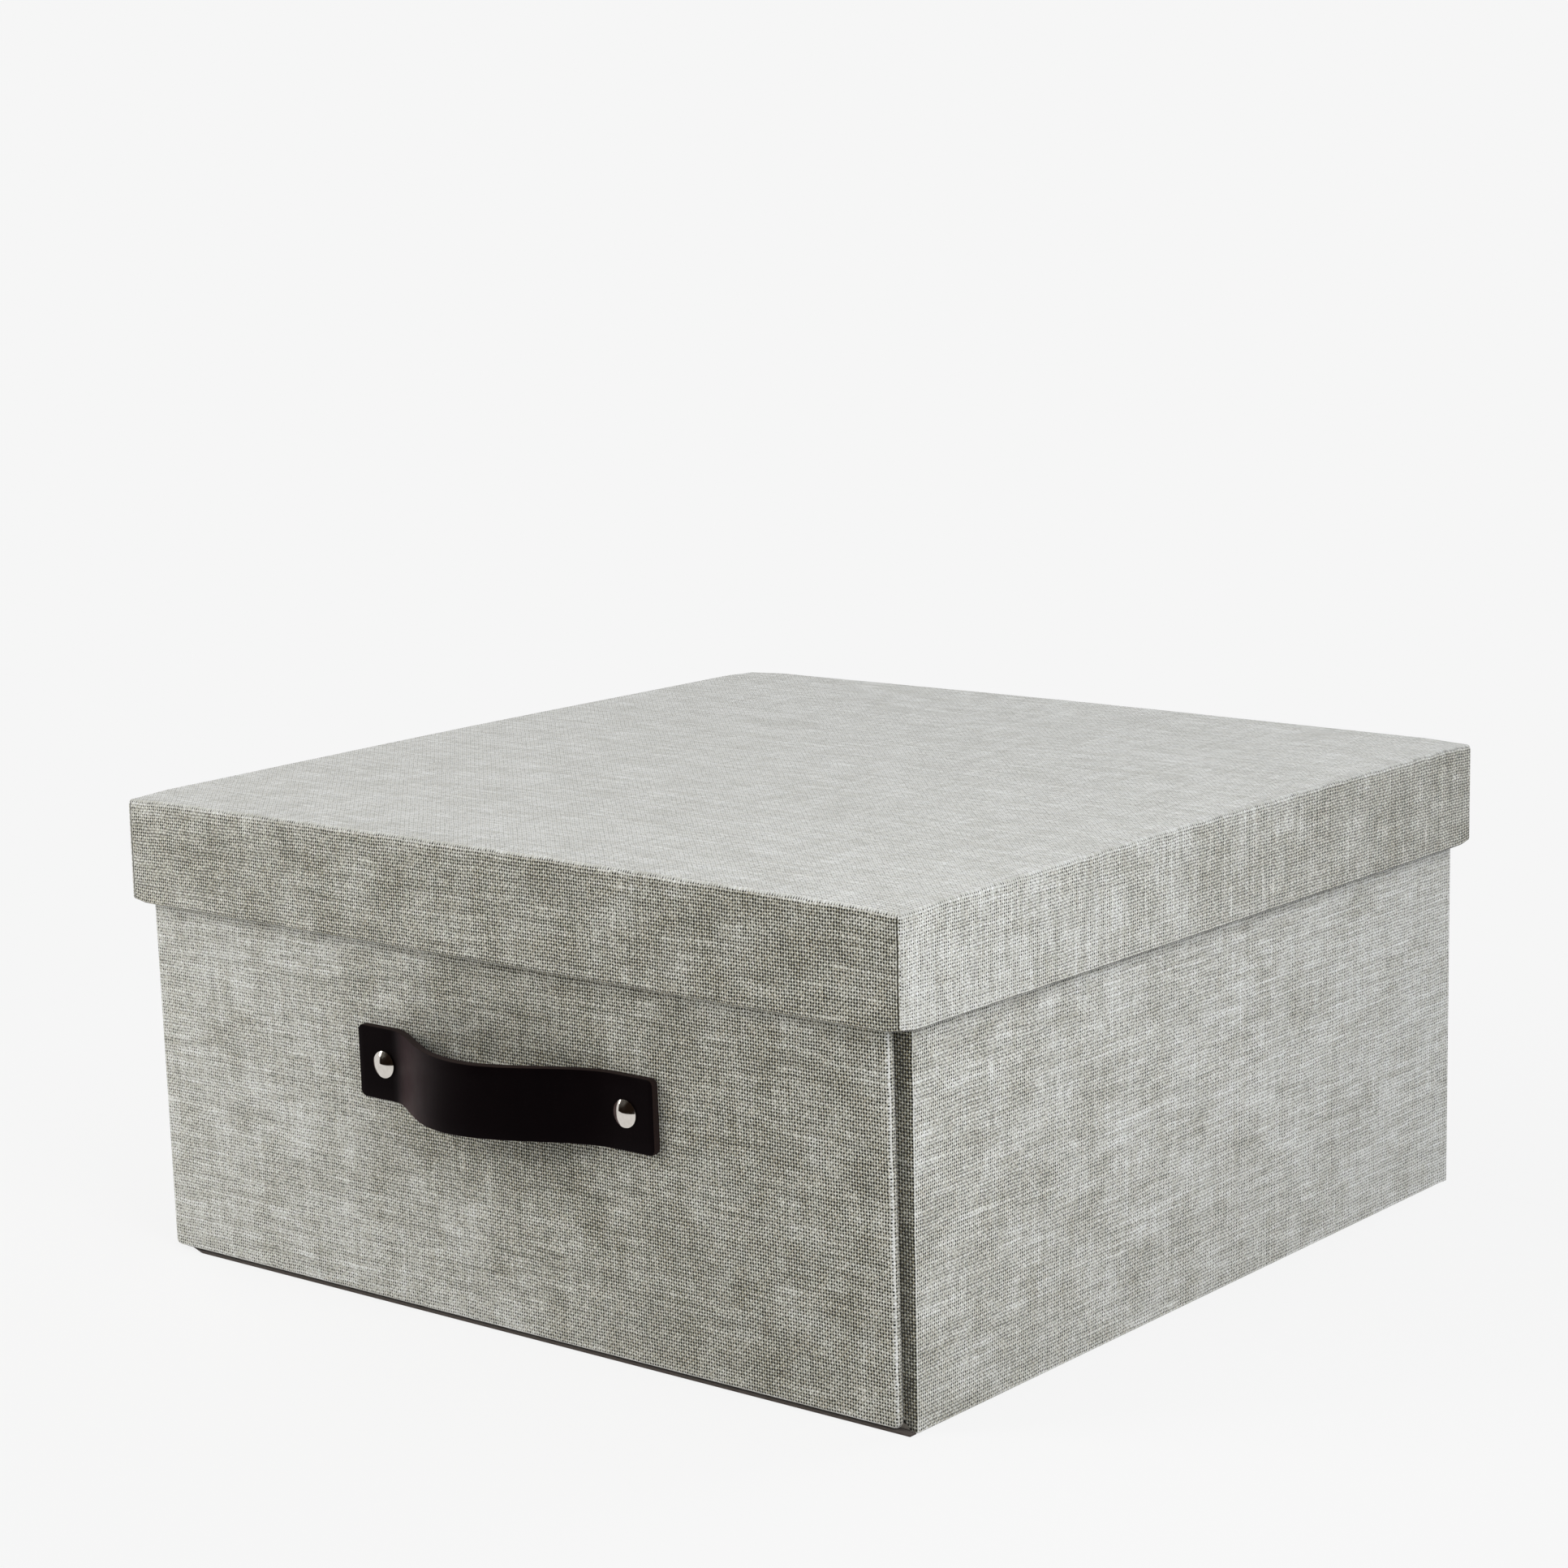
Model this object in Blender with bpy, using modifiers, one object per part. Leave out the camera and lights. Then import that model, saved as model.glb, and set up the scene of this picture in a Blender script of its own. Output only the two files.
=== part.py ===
"""Lidded storage box of greyboard covered in woven canvas, with a drop front and a leather handle.

The box stands on z = 0 with the middle of its lid over the origin. X runs along the front, the
front faces -Y and Z is up. All sizes are in metres.

Each wall is a greyboard core with canvas glued round it. The canvas turns in over every edge of
the board, and a paper liner covers the inside. The side walls return round the front corners as
flaps. The front panel lies over the flaps, is hinged to the base by a strip of cloth, leans a
little outwards, and is held by a pad of hooks and a pad of loops at each top corner. The lid
lifts straight off.
"""

import math

import bmesh
import bpy
from mathutils import Matrix, Vector

# Sheet stock
board = 0.0018
canvas = 0.00035
paper = 0.0002
fit_gap = 0.00025
wall = canvas + fit_gap + board + fit_gap + canvas

# Lid, outside
lid_width = 0.330
lid_depth = 0.335
box_height = 0.160
skirt_height = 0.0363
lid_edge_radius = 0.0020
lid_turn_in = 0.030

# Side and back walls, set in from the lid's outer faces
side_overhang = 0.0044
front_overhang = 0.0103
back_overhang = 0.0065
wall_foot = 0.0001
wall_edge_radius = 0.0008
turn_in = 0.015
corner_return = 0.0013
liner_margin = 0.006
stay_leg = 0.015
stay_margin = 0.001

# Flaps that return from the side walls across the front
flap_width = 0.060
flap_foot = 0.0032
flap_relief = 0.0050

# Base, with the folded ledge of its cloth that shows under the front panel
base_board = 0.0014
base_cloth = 0.0004
ledge_height = 0.0010
ledge_reach = 0.0036
ledge_left_inset = 0.0141
ledge_right_inset = 0.0005
ledge_slant = 0.0080
ledge_fold_radius = 0.00028
ledge_turn_in = 0.0026

# Front panel, set in from the side walls' outer faces
panel_left_inset = 0.0013
panel_right_inset = 0.0045
panel_foot = 0.0013
panel_headroom = 0.0006
panel_edge_radius = 0.0013
panel_lean = math.radians(0.95)
hinge_cloth = 0.0002
hinge_leg = 0.017
hinge_end_inset = 0.006

# Pads that hold the panel to the flaps, in the wedge between the two
pad_size = 0.020
pad_edge_inset = 0.020
pad_top_inset = 0.0165

# Leather handle and its rivets
strap_width = 0.0243
strap_height_z = 0.0832
strap_thickness = 0.0026
strap_left_x = -0.0598
strap_right_x = 0.0672
strap_bow = 0.0173
strap_crest_x = -0.0015
strap_left_swell = 0.73
strap_right_swell = 0.95
strap_corner_radius = 0.0022
rivet_left_x = -0.0483
rivet_right_x = 0.0558
rivet_cap_radius = 0.0045
rivet_cap_height = 0.0014
rivet_cap_brim = 0.00025
rivet_shank_radius = 0.0015
rivet_back_radius = 0.0042
rivet_back_height = 0.0014
rivet_back_brim = 0.0003
rivet_socket_depth = 0.0008
rivet_shank_entry = 0.0005

# Cuts run past what they cut by this much, and points nearer than this are one
overrun = 0.002
merge_distance = 0.00002
flat_angle = math.radians(0.5)
round_profile = 0.5

# Counts
edge_segments = 3
strap_segments = 44
turned_steps = 32
dome_steps = 6

# Places worked out from the sizes above
skin = canvas + fit_gap
wall_face_x = lid_width / 2 - side_overhang
wall_front_y = front_overhang - lid_depth / 2
wall_back_y = lid_depth / 2 - back_overhang
lid_foot = box_height - skirt_height
lid_board_foot = box_height - skin - board
lid_liner_top = lid_board_foot - fit_gap
wall_top = lid_liner_top - paper - fit_gap
base_liner_z = base_cloth + fit_gap + base_board + fit_gap
base_top = base_liner_z + paper
flap_end_x = wall_face_x - flap_width
ledge_front_y = wall_front_y - ledge_reach
ledge_left_x = ledge_left_inset - wall_face_x
ledge_right_x = wall_face_x - ledge_right_inset
hinge_gap = fit_gap + hinge_cloth + fit_gap
panel_left_x = panel_left_inset - wall_face_x
panel_right_x = wall_face_x - panel_right_inset
panel_inner_y = wall_front_y - hinge_gap
panel_height = wall_top - panel_headroom - panel_foot
pad_top = wall_top - pad_top_inset
pad_wedge = hinge_gap + (pad_top - pad_size - panel_foot) * math.tan(panel_lean)
pad_height = (pad_wedge - fit_gap * 3) / 2
hole_radius = rivet_shank_radius + fit_gap

sides = {"left": -1, "right": 1}


def clear_scene():
    for obj in list(bpy.data.objects):
        bpy.data.objects.remove(obj, do_unlink=True)


def new_collection(name):
    made = bpy.data.collections.new(name)
    bpy.context.scene.collection.children.link(made)
    return made


def make_material(name, colour, roughness, metallic=0.0):
    material = bpy.data.materials.new(name)
    material.use_nodes = True
    shader = material.node_tree.nodes["Principled BSDF"]
    shader.inputs["Base Color"].default_value = (*colour, 1.0)
    shader.inputs["Roughness"].default_value = roughness
    shader.inputs["Metallic"].default_value = metallic
    material.diffuse_color = (*colour, 1.0)
    return material


clear_scene()
parts = new_collection("storage_box")
cutters = new_collection("cutters")
materials = {
    "canvas": make_material("grey_canvas", (0.52, 0.51, 0.47), 0.9),
    "greyboard": make_material("greyboard", (0.33, 0.31, 0.28), 0.95),
    "lining": make_material("lining_paper", (0.20, 0.18, 0.16), 0.85),
    "dark_cloth": make_material("dark_base_cloth", (0.07, 0.055, 0.05), 0.9),
    "leather": make_material("dark_brown_leather", (0.02, 0.014, 0.014), 0.55),
    "nickel": make_material("polished_nickel", (0.70, 0.68, 0.65), 0.15, 1.0),
    "fastener": make_material("fastener_tape", (0.03, 0.03, 0.03), 0.95),
}


def object_from(name, mesh, group):
    obj = bpy.data.objects.new(name, mesh)
    group.objects.link(obj)
    return obj


def part(name, mesh, material, parent=None):
    """A visible piece. A parent is an empty, whose frame the mesh is drawn in."""
    obj = object_from(name, mesh, parts)
    mesh.materials.append(materials[material])
    obj.parent = parent
    return obj


def cutter(name, mesh, parent=None):
    obj = object_from(name, mesh, cutters)
    obj.hide_render = True
    obj.display_type = "WIRE"
    obj.parent = parent
    return obj


def combine(obj, other, operation="DIFFERENCE"):
    boolean = obj.modifiers.new(other.name, "BOOLEAN")
    boolean.object = other
    boolean.operation = operation
    return obj


def mesh_from(work, name):
    bmesh.ops.recalc_face_normals(work, faces=work.faces)
    mesh = bpy.data.meshes.new(name)
    work.to_mesh(mesh)
    work.free()
    return mesh


def along(edge, axis):
    span = edge.verts[1].co - edge.verts[0].co
    return abs(span[axis]) > span.length / 2


def round_edges(work, radius, axis=None):
    """Rounds every edge, or only those that run along one axis."""
    picked = [edge for edge in work.edges if axis is None or along(edge, axis)]
    bmesh.ops.bevel(
        work,
        geom=picked,
        offset=radius,
        offset_type="OFFSET",
        segments=edge_segments,
        profile=round_profile,
        affect="EDGES",
        clamp_overlap=True,
    )


def block(name, low, high, radius=0.0, axis=None):
    """A box between two corners, with its edges rounded where a radius is given."""
    work = bmesh.new()
    middle = (Vector(low) + Vector(high)) / 2
    size = Vector(high) - Vector(low)
    place = Matrix.Translation(middle) @ Matrix.Diagonal((*size, 1.0))
    bmesh.ops.create_cube(work, size=1.0, matrix=place)
    if radius:
        round_edges(work, radius, axis)
    return mesh_from(work, name)


def prism(name, outline, low, high, radius=0.0):
    """A flat outline in X and Y, raised from one height to another."""
    curve = bpy.data.curves.new(name, "CURVE")
    curve.dimensions = "2D"
    curve.fill_mode = "BOTH"
    curve.extrude = (high - low) / 2
    spline = curve.splines.new("POLY")
    spline.points.add(len(outline) - 1)
    for point, (x, y) in zip(spline.points, outline):
        point.co = (x, y, 0.0, 1.0)
    spline.use_cyclic_u = True
    drawn = object_from(name, curve, cutters)
    bpy.context.view_layer.update()
    graph = bpy.context.evaluated_depsgraph_get()
    mesh = bpy.data.meshes.new_from_object(drawn.evaluated_get(graph))
    bpy.data.objects.remove(drawn)
    bpy.data.curves.remove(curve)
    work = bmesh.new()
    work.from_mesh(mesh)
    bpy.data.meshes.remove(mesh)
    bmesh.ops.remove_doubles(work, verts=work.verts, dist=merge_distance)
    bmesh.ops.dissolve_limit(work, angle_limit=flat_angle, verts=work.verts, edges=work.edges)
    bmesh.ops.translate(work, vec=(0.0, 0.0, (low + high) / 2), verts=work.verts)
    if radius:
        round_edges(work, radius)
    return mesh_from(work, name)


def ribbon(name, path, run):
    """An open surface: a path of points, each moved by the run to make the far edge."""
    work = bmesh.new()
    near = [work.verts.new(point) for point in path]
    edges = [work.edges.new(pair) for pair in zip(near, near[1:])]
    made = bmesh.ops.extrude_edge_only(work, edges=edges)["geom"]
    far = [item for item in made if isinstance(item, bmesh.types.BMVert)]
    bmesh.ops.translate(work, vec=run, verts=far)
    return mesh_from(work, name)


def thicken(obj, thickness):
    solid = obj.modifiers.new("thickness", "SOLIDIFY")
    solid.thickness = thickness
    solid.offset = 0.0
    solid.use_even_offset = True


def ordered(a, b):
    return (a, b) if a < b else (b, a)


def spanning(x_ends, y_ends, z_ends):
    """Low and high corners from two ends along each axis, given in either order."""
    ends = [ordered(*pair) for pair in (x_ends, y_ends, z_ends)]
    return tuple(low for low, _ in ends), tuple(high for _, high in ends)


# Lid


def lid_form(name, inset):
    """The lid's outer block, drawn in by an inset on every side."""
    half_x = lid_width / 2 - inset
    half_y = lid_depth / 2 - inset
    low = (-half_x, -half_y, lid_foot + inset)
    high = (half_x, half_y, box_height - inset)
    return block(name, low, high, lid_edge_radius - inset)


def build_lid_cover():
    cover = part("lid_cover", lid_form("lid_cover", 0.0), "canvas")
    turn_in_top = lid_foot + lid_turn_in
    inner_x = lid_width / 2 - wall
    inner_y = lid_depth / 2 - wall
    pocket = cutter("lid_pocket", lid_form("lid_pocket", canvas))
    core_low = (-inner_x - canvas, -inner_y - canvas, lid_foot - overrun)
    core_high = (inner_x + canvas, inner_y + canvas, turn_in_top)
    combine(pocket, cutter("lid_core", block("lid_core", core_low, core_high)))
    combine(cover, pocket)
    mouth_low = (-inner_x, -inner_y, lid_foot - overrun)
    mouth_high = (inner_x, inner_y, turn_in_top + overrun)
    combine(cover, cutter("lid_mouth", block("lid_mouth", mouth_low, mouth_high)))


def lid_board(name, low, high):
    """A board of the lid: the lid's form inside the canvas, kept between two corners."""
    made = part(name, lid_form(name, skin), "greyboard")
    keep = cutter(name + "_keep", block(name + "_keep", low, high))
    combine(made, keep, "INTERSECT")


def build_lid_boards():
    reach_x = lid_width / 2
    reach_y = lid_depth / 2
    inner_x = reach_x - skin - board
    inner_y = reach_y - skin - board
    skirt_top = lid_board_foot - fit_gap
    top_low = (-reach_x, -reach_y, lid_board_foot)
    lid_board("lid_top_board", top_low, (reach_x, reach_y, box_height))
    for name, way in (("front", -1), ("back", 1)):
        y_ends = (way * inner_y, way * reach_y)
        corners = spanning((-reach_x, reach_x), y_ends, (lid_foot, skirt_top))
        lid_board(f"lid_{name}_board", *corners)
    end_y = inner_y - fit_gap
    for name, way in sides.items():
        x_ends = (way * inner_x, way * reach_x)
        corners = spanning(x_ends, (-end_y, end_y), (lid_foot, skirt_top))
        lid_board(f"lid_{name}_board", *corners)


def build_lid_liner():
    half_x = lid_width / 2 - wall - fit_gap
    half_y = lid_depth / 2 - wall - fit_gap
    low = (-half_x, -half_y, lid_liner_top - paper)
    part("lid_liner", block("lid_liner", low, (half_x, half_y, lid_liner_top)), "lining")


# Side walls with their front flaps


def relief(name, way, lift):
    """What is cut from under a flap: level along its foot, sloping down to the wall's corner."""
    far_x = flap_end_x - overrun
    level = flap_foot + lift
    slope = (flap_foot - wall_foot) / flap_relief
    start = wall_foot + lift - slope * overrun
    outline = [
        (way * (wall_face_x + overrun), start),
        (way * (wall_face_x - flap_relief), level),
        (way * far_x, level),
        (way * far_x, start - overrun),
        (way * (wall_face_x + overrun), start - overrun),
    ]
    low = wall_front_y - overrun
    high = wall_front_y + wall + fit_gap + lift
    mesh = prism(name, outline, -high, -low)
    # The outline is drawn flat and stood up, which turns its second axis into height.
    mesh.transform(Matrix.Rotation(math.pi / 2, 4, "X"))
    return cutter(name, mesh)


def round_folds(work, radius, crease):
    """Rounds the folds of an open sheet, all but one crease, and leaves its free edges."""
    folds = [edge for edge in work.edges if len(edge.link_faces) == 2 and edge != crease]
    sharp = [edge for edge in folds if edge.calc_face_angle() > flat_angle]
    bmesh.ops.bevel(
        work,
        geom=sharp,
        offset=radius,
        offset_type="OFFSET",
        segments=edge_segments,
        profile=round_profile,
        affect="EDGES",
        clamp_overlap=True,
    )


def build_side_cover(side, way):
    """One canvas sheet, drawn down its middle: over the wall and its flap, and turned in."""
    half = canvas / 2
    face_x = way * (wall_face_x - half)
    inner_x = way * (wall_face_x - wall + half)
    relief_x = way * (wall_face_x - flap_relief)
    end_x = way * (flap_end_x + half)
    return_x = way * (wall_face_x - corner_return)
    front_y = wall_front_y + half
    flap_y = wall_front_y + wall - half
    stop_y = wall_back_y - wall - fit_gap
    back_y = wall_back_y - half
    foot = wall_foot + half
    flap_z = flap_foot + half
    top = wall_top - half
    work = bmesh.new()

    def corner(x, y, z):
        return work.verts.new((x, y, z))

    back_foot, back_head = corner(face_x, back_y, foot), corner(face_x, back_y, top)
    return_foot, return_head = corner(return_x, back_y, foot), corner(return_x, back_y, top)
    stop_foot, stop_head = corner(face_x, stop_y, foot), corner(face_x, stop_y, top)
    fold_foot, fold_head = corner(face_x, front_y, foot), corner(face_x, front_y, top)
    relief_foot = corner(relief_x, front_y, flap_z)
    end_foot, end_head = corner(end_x, front_y, flap_z), corner(end_x, front_y, top)
    in_stop_foot, in_stop_head = corner(inner_x, stop_y, foot), corner(inner_x, stop_y, top)
    in_fold_foot, in_fold_head = corner(inner_x, flap_y, foot), corner(inner_x, flap_y, top)
    in_relief_foot = corner(inner_x, flap_y, flap_z)
    in_end_foot, in_end_head = corner(end_x, flap_y, flap_z), corner(end_x, flap_y, top)
    for outline in (
        (back_foot, stop_foot, fold_foot, fold_head, stop_head, back_head),
        (back_foot, back_head, return_head, return_foot),
        (fold_foot, relief_foot, end_foot, end_head, fold_head),
        (stop_foot, in_stop_foot, in_fold_foot, fold_foot),
        (fold_foot, in_fold_foot, in_relief_foot, relief_foot),
        (relief_foot, in_relief_foot, in_end_foot, end_foot),
        (end_foot, in_end_foot, in_end_head, end_head),
        (end_head, in_end_head, in_fold_head, fold_head),
        (fold_head, in_fold_head, in_stop_head, stop_head),
    ):
        work.faces.new(outline)
    foot_line = foot + turn_in
    flap_line = flap_z + turn_in
    top_line = top - turn_in
    near_fold = flap_y + turn_in
    fold_line = inner_x - way * turn_in
    end_line = end_x + way * turn_in
    raw_stop_foot = corner(inner_x, stop_y, foot_line)
    raw_stop_head = corner(inner_x, stop_y, top_line)
    raw_fold_foot = corner(inner_x, near_fold, foot_line)
    raw_fold_head = corner(inner_x, near_fold, top_line)
    flap_fold_foot = corner(fold_line, flap_y, flap_line)
    flap_fold_head = corner(fold_line, flap_y, top_line)
    flap_end_foot = corner(end_line, flap_y, flap_line)
    flap_end_head = corner(end_line, flap_y, top_line)
    for outline in (
        (in_stop_foot, raw_stop_foot, raw_fold_foot, in_fold_foot),
        (in_fold_foot, raw_fold_foot, raw_fold_head, in_fold_head, in_relief_foot),
        (in_fold_head, raw_fold_head, raw_stop_head, in_stop_head),
        (in_relief_foot, flap_fold_foot, flap_end_foot, in_end_foot),
        (in_end_foot, flap_end_foot, flap_end_head, in_end_head),
        (in_end_head, flap_end_head, flap_fold_head, in_fold_head),
        (in_fold_head, flap_fold_head, flap_fold_foot, in_relief_foot),
    ):
        work.faces.new(outline)
    bmesh.ops.recalc_face_normals(work, faces=work.faces[:])
    crease = work.edges.get((in_relief_foot, in_fold_head))
    round_folds(work, wall_edge_radius - half, crease)
    name = f"{side}_wall_cover"
    thicken(part(name, mesh_from(work, name), "canvas"), canvas)


def build_side_boards(side, way):
    """The wall's board runs on to the front corner, and the flap's board butts against it."""
    radius = wall_edge_radius - skin
    inner_x = wall_face_x - skin - board
    top = wall_top - skin
    name = f"{side}_wall_board"
    x_ends = (way * inner_x, way * (wall_face_x - skin))
    y_ends = (wall_front_y + skin, wall_back_y - wall - fit_gap)
    mesh = block(name, *spanning(x_ends, y_ends, (wall_foot + skin, top)), radius)
    combine(part(name, mesh, "greyboard"), relief(f"{name}_relief", way, skin))
    name = f"{side}_flap_board"
    x_ends = (way * (flap_end_x + skin), way * (inner_x - fit_gap))
    y_ends = (wall_front_y + skin, wall_front_y + skin + board)
    mesh = block(name, *spanning(x_ends, y_ends, (flap_foot + skin, top)), radius)
    part(name, mesh, "greyboard")


def build_side_liner(side, way):
    """One sheet of paper down the wall and round on to the flap."""
    middle = fit_gap + paper / 2
    x = way * (wall_face_x - wall - middle)
    y = wall_front_y + wall + middle
    back_y = wall_back_y - wall - fit_gap - paper - fit_gap
    end_x = way * (flap_end_x + liner_margin)
    z = base_top + fit_gap
    path = [(x, back_y, z), (x, y, z), (end_x, y, z)]
    rise = wall_top - liner_margin - z
    name = f"{side}_wall_liner"
    liner = part(name, ribbon(name, path, (0.0, 0.0, rise)), "lining")
    thicken(liner, paper)


# Back wall


def build_back_wall():
    edge_x = wall_face_x - corner_return - fit_gap
    inner_y = wall_back_y - wall
    low = (-edge_x, inner_y, wall_foot)
    high = (edge_x, wall_back_y, wall_top)
    mesh = block("back_wall_cover", low, high, wall_edge_radius, axis=0)
    cover = part("back_wall_cover", mesh, "canvas")
    low = (-edge_x - overrun, inner_y + canvas, wall_foot + canvas)
    high = (edge_x + overrun, wall_back_y - canvas, wall_top - canvas)
    mesh = block("back_pocket", low, high, wall_edge_radius - canvas, axis=0)
    combine(cover, cutter("back_pocket", mesh))
    low = (-edge_x - overrun, inner_y - overrun, wall_foot + turn_in)
    high = (edge_x + overrun, inner_y + canvas + fit_gap, wall_top - turn_in)
    combine(cover, cutter("back_window", block("back_window", low, high)))

    half_x = wall_face_x - skin
    low = (-half_x, wall_back_y - skin - board, wall_foot + skin)
    high = (half_x, wall_back_y - skin, wall_top - skin)
    mesh = block("back_wall_board", low, high, wall_edge_radius - skin)
    part("back_wall_board", mesh, "greyboard")

    half_x = wall_face_x - wall - fit_gap - paper - fit_gap
    low = (-half_x, inner_y - fit_gap - paper, base_top + fit_gap)
    high = (half_x, inner_y - fit_gap, wall_top - liner_margin)
    part("back_wall_liner", block("back_wall_liner", low, high), "lining")


def build_corner_stay(side, way):
    """Paper tape down the inside of a back corner, under the liners."""
    middle = fit_gap + paper / 2
    x = way * (wall_face_x - skin - board - middle)
    y = wall_back_y - skin - board - middle
    z = wall_foot + turn_in + stay_margin
    path = [(x, y - stay_leg, z), (x, y, z), (x - way * stay_leg, y, z)]
    rise = wall_top - turn_in - stay_margin - z
    name = f"back_{side}_corner_stay"
    stay = part(name, ribbon(name, path, (0.0, 0.0, rise)), "lining")
    thicken(stay, paper)


# Base


def base_outline(inset):
    """The base cloth's outline, with a ledge that stands out in front of the walls."""
    half_x = wall_face_x - wall - fit_gap - inset
    root_y = wall_front_y - fit_gap
    front_y = ledge_front_y + inset
    back_y = wall_back_y - wall - fit_gap - inset
    right_x = ledge_right_x - inset
    left_x = ledge_left_x + inset
    return [
        (left_x, front_y),
        (right_x, front_y),
        (right_x, root_y - inset),
        (half_x, root_y - inset),
        (half_x, back_y),
        (-half_x, back_y),
        (-half_x, root_y + inset),
        (left_x - ledge_slant, root_y + inset),
    ]


def build_base_wrap():
    """Cloth under the base board, folded back on itself along the front edge of its ledge."""
    half = base_cloth / 2
    work = bmesh.new()
    corners = [work.verts.new((x, y, half)) for x, y in base_outline(half)]
    work.faces.new(corners)
    fold = work.edges.get(corners[:2])
    moves = ((0.0, 0.0, ledge_height - base_cloth), (0.0, ledge_turn_in, 0.0))
    folds = [fold]
    for move in moves:
        made = bmesh.ops.extrude_edge_only(work, edges=[fold])["geom"]
        moved = [item for item in made if isinstance(item, bmesh.types.BMVert)]
        bmesh.ops.translate(work, vec=move, verts=moved)
        fold = work.edges.get(moved)
        folds.append(fold)
    bmesh.ops.bevel(
        work,
        geom=folds[:2],
        offset=ledge_fold_radius,
        offset_type="OFFSET",
        segments=edge_segments,
        profile=round_profile,
        affect="EDGES",
    )
    wrap = part("base_wrap", mesh_from(work, "base_wrap"), "dark_cloth")
    thicken(wrap, base_cloth)


def build_base():
    build_base_wrap()
    half_x = wall_face_x - wall - fit_gap
    back_y = wall_back_y - wall - fit_gap
    foot = base_cloth + fit_gap
    low = (-half_x, wall_front_y, foot)
    part("base_board", block("base_board", low, (half_x, back_y, foot + base_board)), "greyboard")
    half_x = wall_face_x - wall - fit_gap - paper - fit_gap
    front_y = wall_front_y + hinge_leg + fit_gap
    back_y = wall_back_y - wall - fit_gap - paper - fit_gap
    low = (-half_x, front_y, base_liner_z)
    part("base_liner", block("base_liner", low, (half_x, back_y, base_top)), "lining")


def build_hinge():
    """Cloth that lies on the base, passes under the flaps and climbs the panel's inner face."""
    z = base_liner_z + hinge_cloth / 2
    turn = hinge_cloth + fit_gap
    panel_y = wall_front_y - fit_gap - hinge_cloth / 2
    rise = panel_foot + hinge_leg
    lean = (rise - z) * math.tan(panel_lean)
    left_x = panel_left_x + hinge_end_inset
    path = [
        (left_x, wall_front_y + hinge_leg, z),
        (left_x, panel_y + turn, z),
        (left_x, panel_y, z + turn),
        (left_x, panel_y - lean, rise),
    ]
    run = panel_right_x - panel_left_x - hinge_end_inset * 2
    mesh = ribbon("front_hinge_cloth", path, (run, 0.0, 0.0))
    thicken(part("front_hinge_cloth", mesh, "dark_cloth"), hinge_cloth)


# Front panel, drawn upright in the frame of its hinge and leant by that frame


def panel_frame():
    frame = bpy.data.objects.new("front_panel_hinge", None)
    parts.objects.link(frame)
    frame.location = (0.0, panel_inner_y, panel_foot)
    frame.rotation_euler = (panel_lean, 0.0, 0.0)
    return frame


def rivet_hole(name, x, frame):
    work = bmesh.new()
    depth = wall + strap_thickness + fit_gap * 2 + overrun * 2
    bmesh.ops.create_cone(
        work,
        cap_ends=True,
        segments=turned_steps,
        radius1=hole_radius,
        radius2=hole_radius,
        depth=depth,
    )
    turn = Matrix.Rotation(math.pi / 2, 4, "X")
    middle = (x, overrun - depth / 2, strap_height_z - panel_foot)
    work.transform(Matrix.Translation(middle) @ turn)
    return cutter(name, mesh_from(work, name), frame)


def panel_block(name, inset, radius):
    low = (panel_left_x + inset, -wall + inset, inset)
    high = (panel_right_x - inset, -inset, panel_height - inset)
    return block(name, low, high, radius)


def build_panel(frame, holes):
    mesh = panel_block("front_panel_cover", 0.0, panel_edge_radius)
    cover = part("front_panel_cover", mesh, "canvas", frame)
    mesh = panel_block("panel_pocket", canvas, panel_edge_radius - canvas)
    combine(cover, cutter("panel_pocket", mesh, frame))
    low = (panel_left_x + turn_in, -canvas - fit_gap, turn_in)
    high = (panel_right_x - turn_in, overrun, panel_height - turn_in)
    combine(cover, cutter("panel_window", block("panel_window", low, high), frame))
    mesh = panel_block("front_panel_board", skin, panel_edge_radius - skin)
    core = part("front_panel_board", mesh, "greyboard", frame)
    margin = turn_in + fit_gap
    low = (panel_left_x + margin, -skin + fit_gap, margin)
    high = (panel_right_x - margin, -skin + fit_gap + paper, panel_height - margin)
    liner = part("front_panel_liner", block("front_panel_liner", low, high), "lining", frame)
    for hole in holes:
        for pierced in (cover, core, liner):
            combine(pierced, hole)


# Handle


def strap_rise(x):
    """How far the strap stands off at x: nothing under a cap, all of the bow at the crest."""
    if x < strap_crest_x:
        foot = rivet_left_x + rivet_cap_radius
        swell = strap_left_swell
    else:
        foot = rivet_right_x - rivet_cap_radius
        swell = strap_right_swell
    share = (x - foot) / (strap_crest_x - foot)
    share = min(max(share, 0.0), 1.0) ** swell
    return strap_bow * (1 - math.cos(math.pi * share)) / 2


def build_strap(frame, holes):
    seat = -wall - fit_gap - strap_thickness / 2
    foot = strap_height_z - panel_foot - strap_width / 2
    length = strap_right_x - strap_left_x
    stations = [strap_left_x + length * i / strap_segments for i in range(strap_segments + 1)]
    path = [(x, seat - strap_rise(x), foot) for x in stations]
    mesh = ribbon("handle_strap", path, (0.0, 0.0, strap_width))
    work = bmesh.new()
    work.from_mesh(mesh)
    corners = [vert for vert in work.verts if len(vert.link_edges) == 2]
    bmesh.ops.bevel(
        work,
        geom=corners,
        offset=strap_corner_radius,
        offset_type="OFFSET",
        segments=edge_segments,
        profile=round_profile,
        affect="VERTICES",
    )
    work.to_mesh(mesh)
    work.free()
    strap = part("handle_strap", mesh, "leather", frame)
    thicken(strap, strap_thickness)
    for hole in holes:
        combine(strap, hole)


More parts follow.
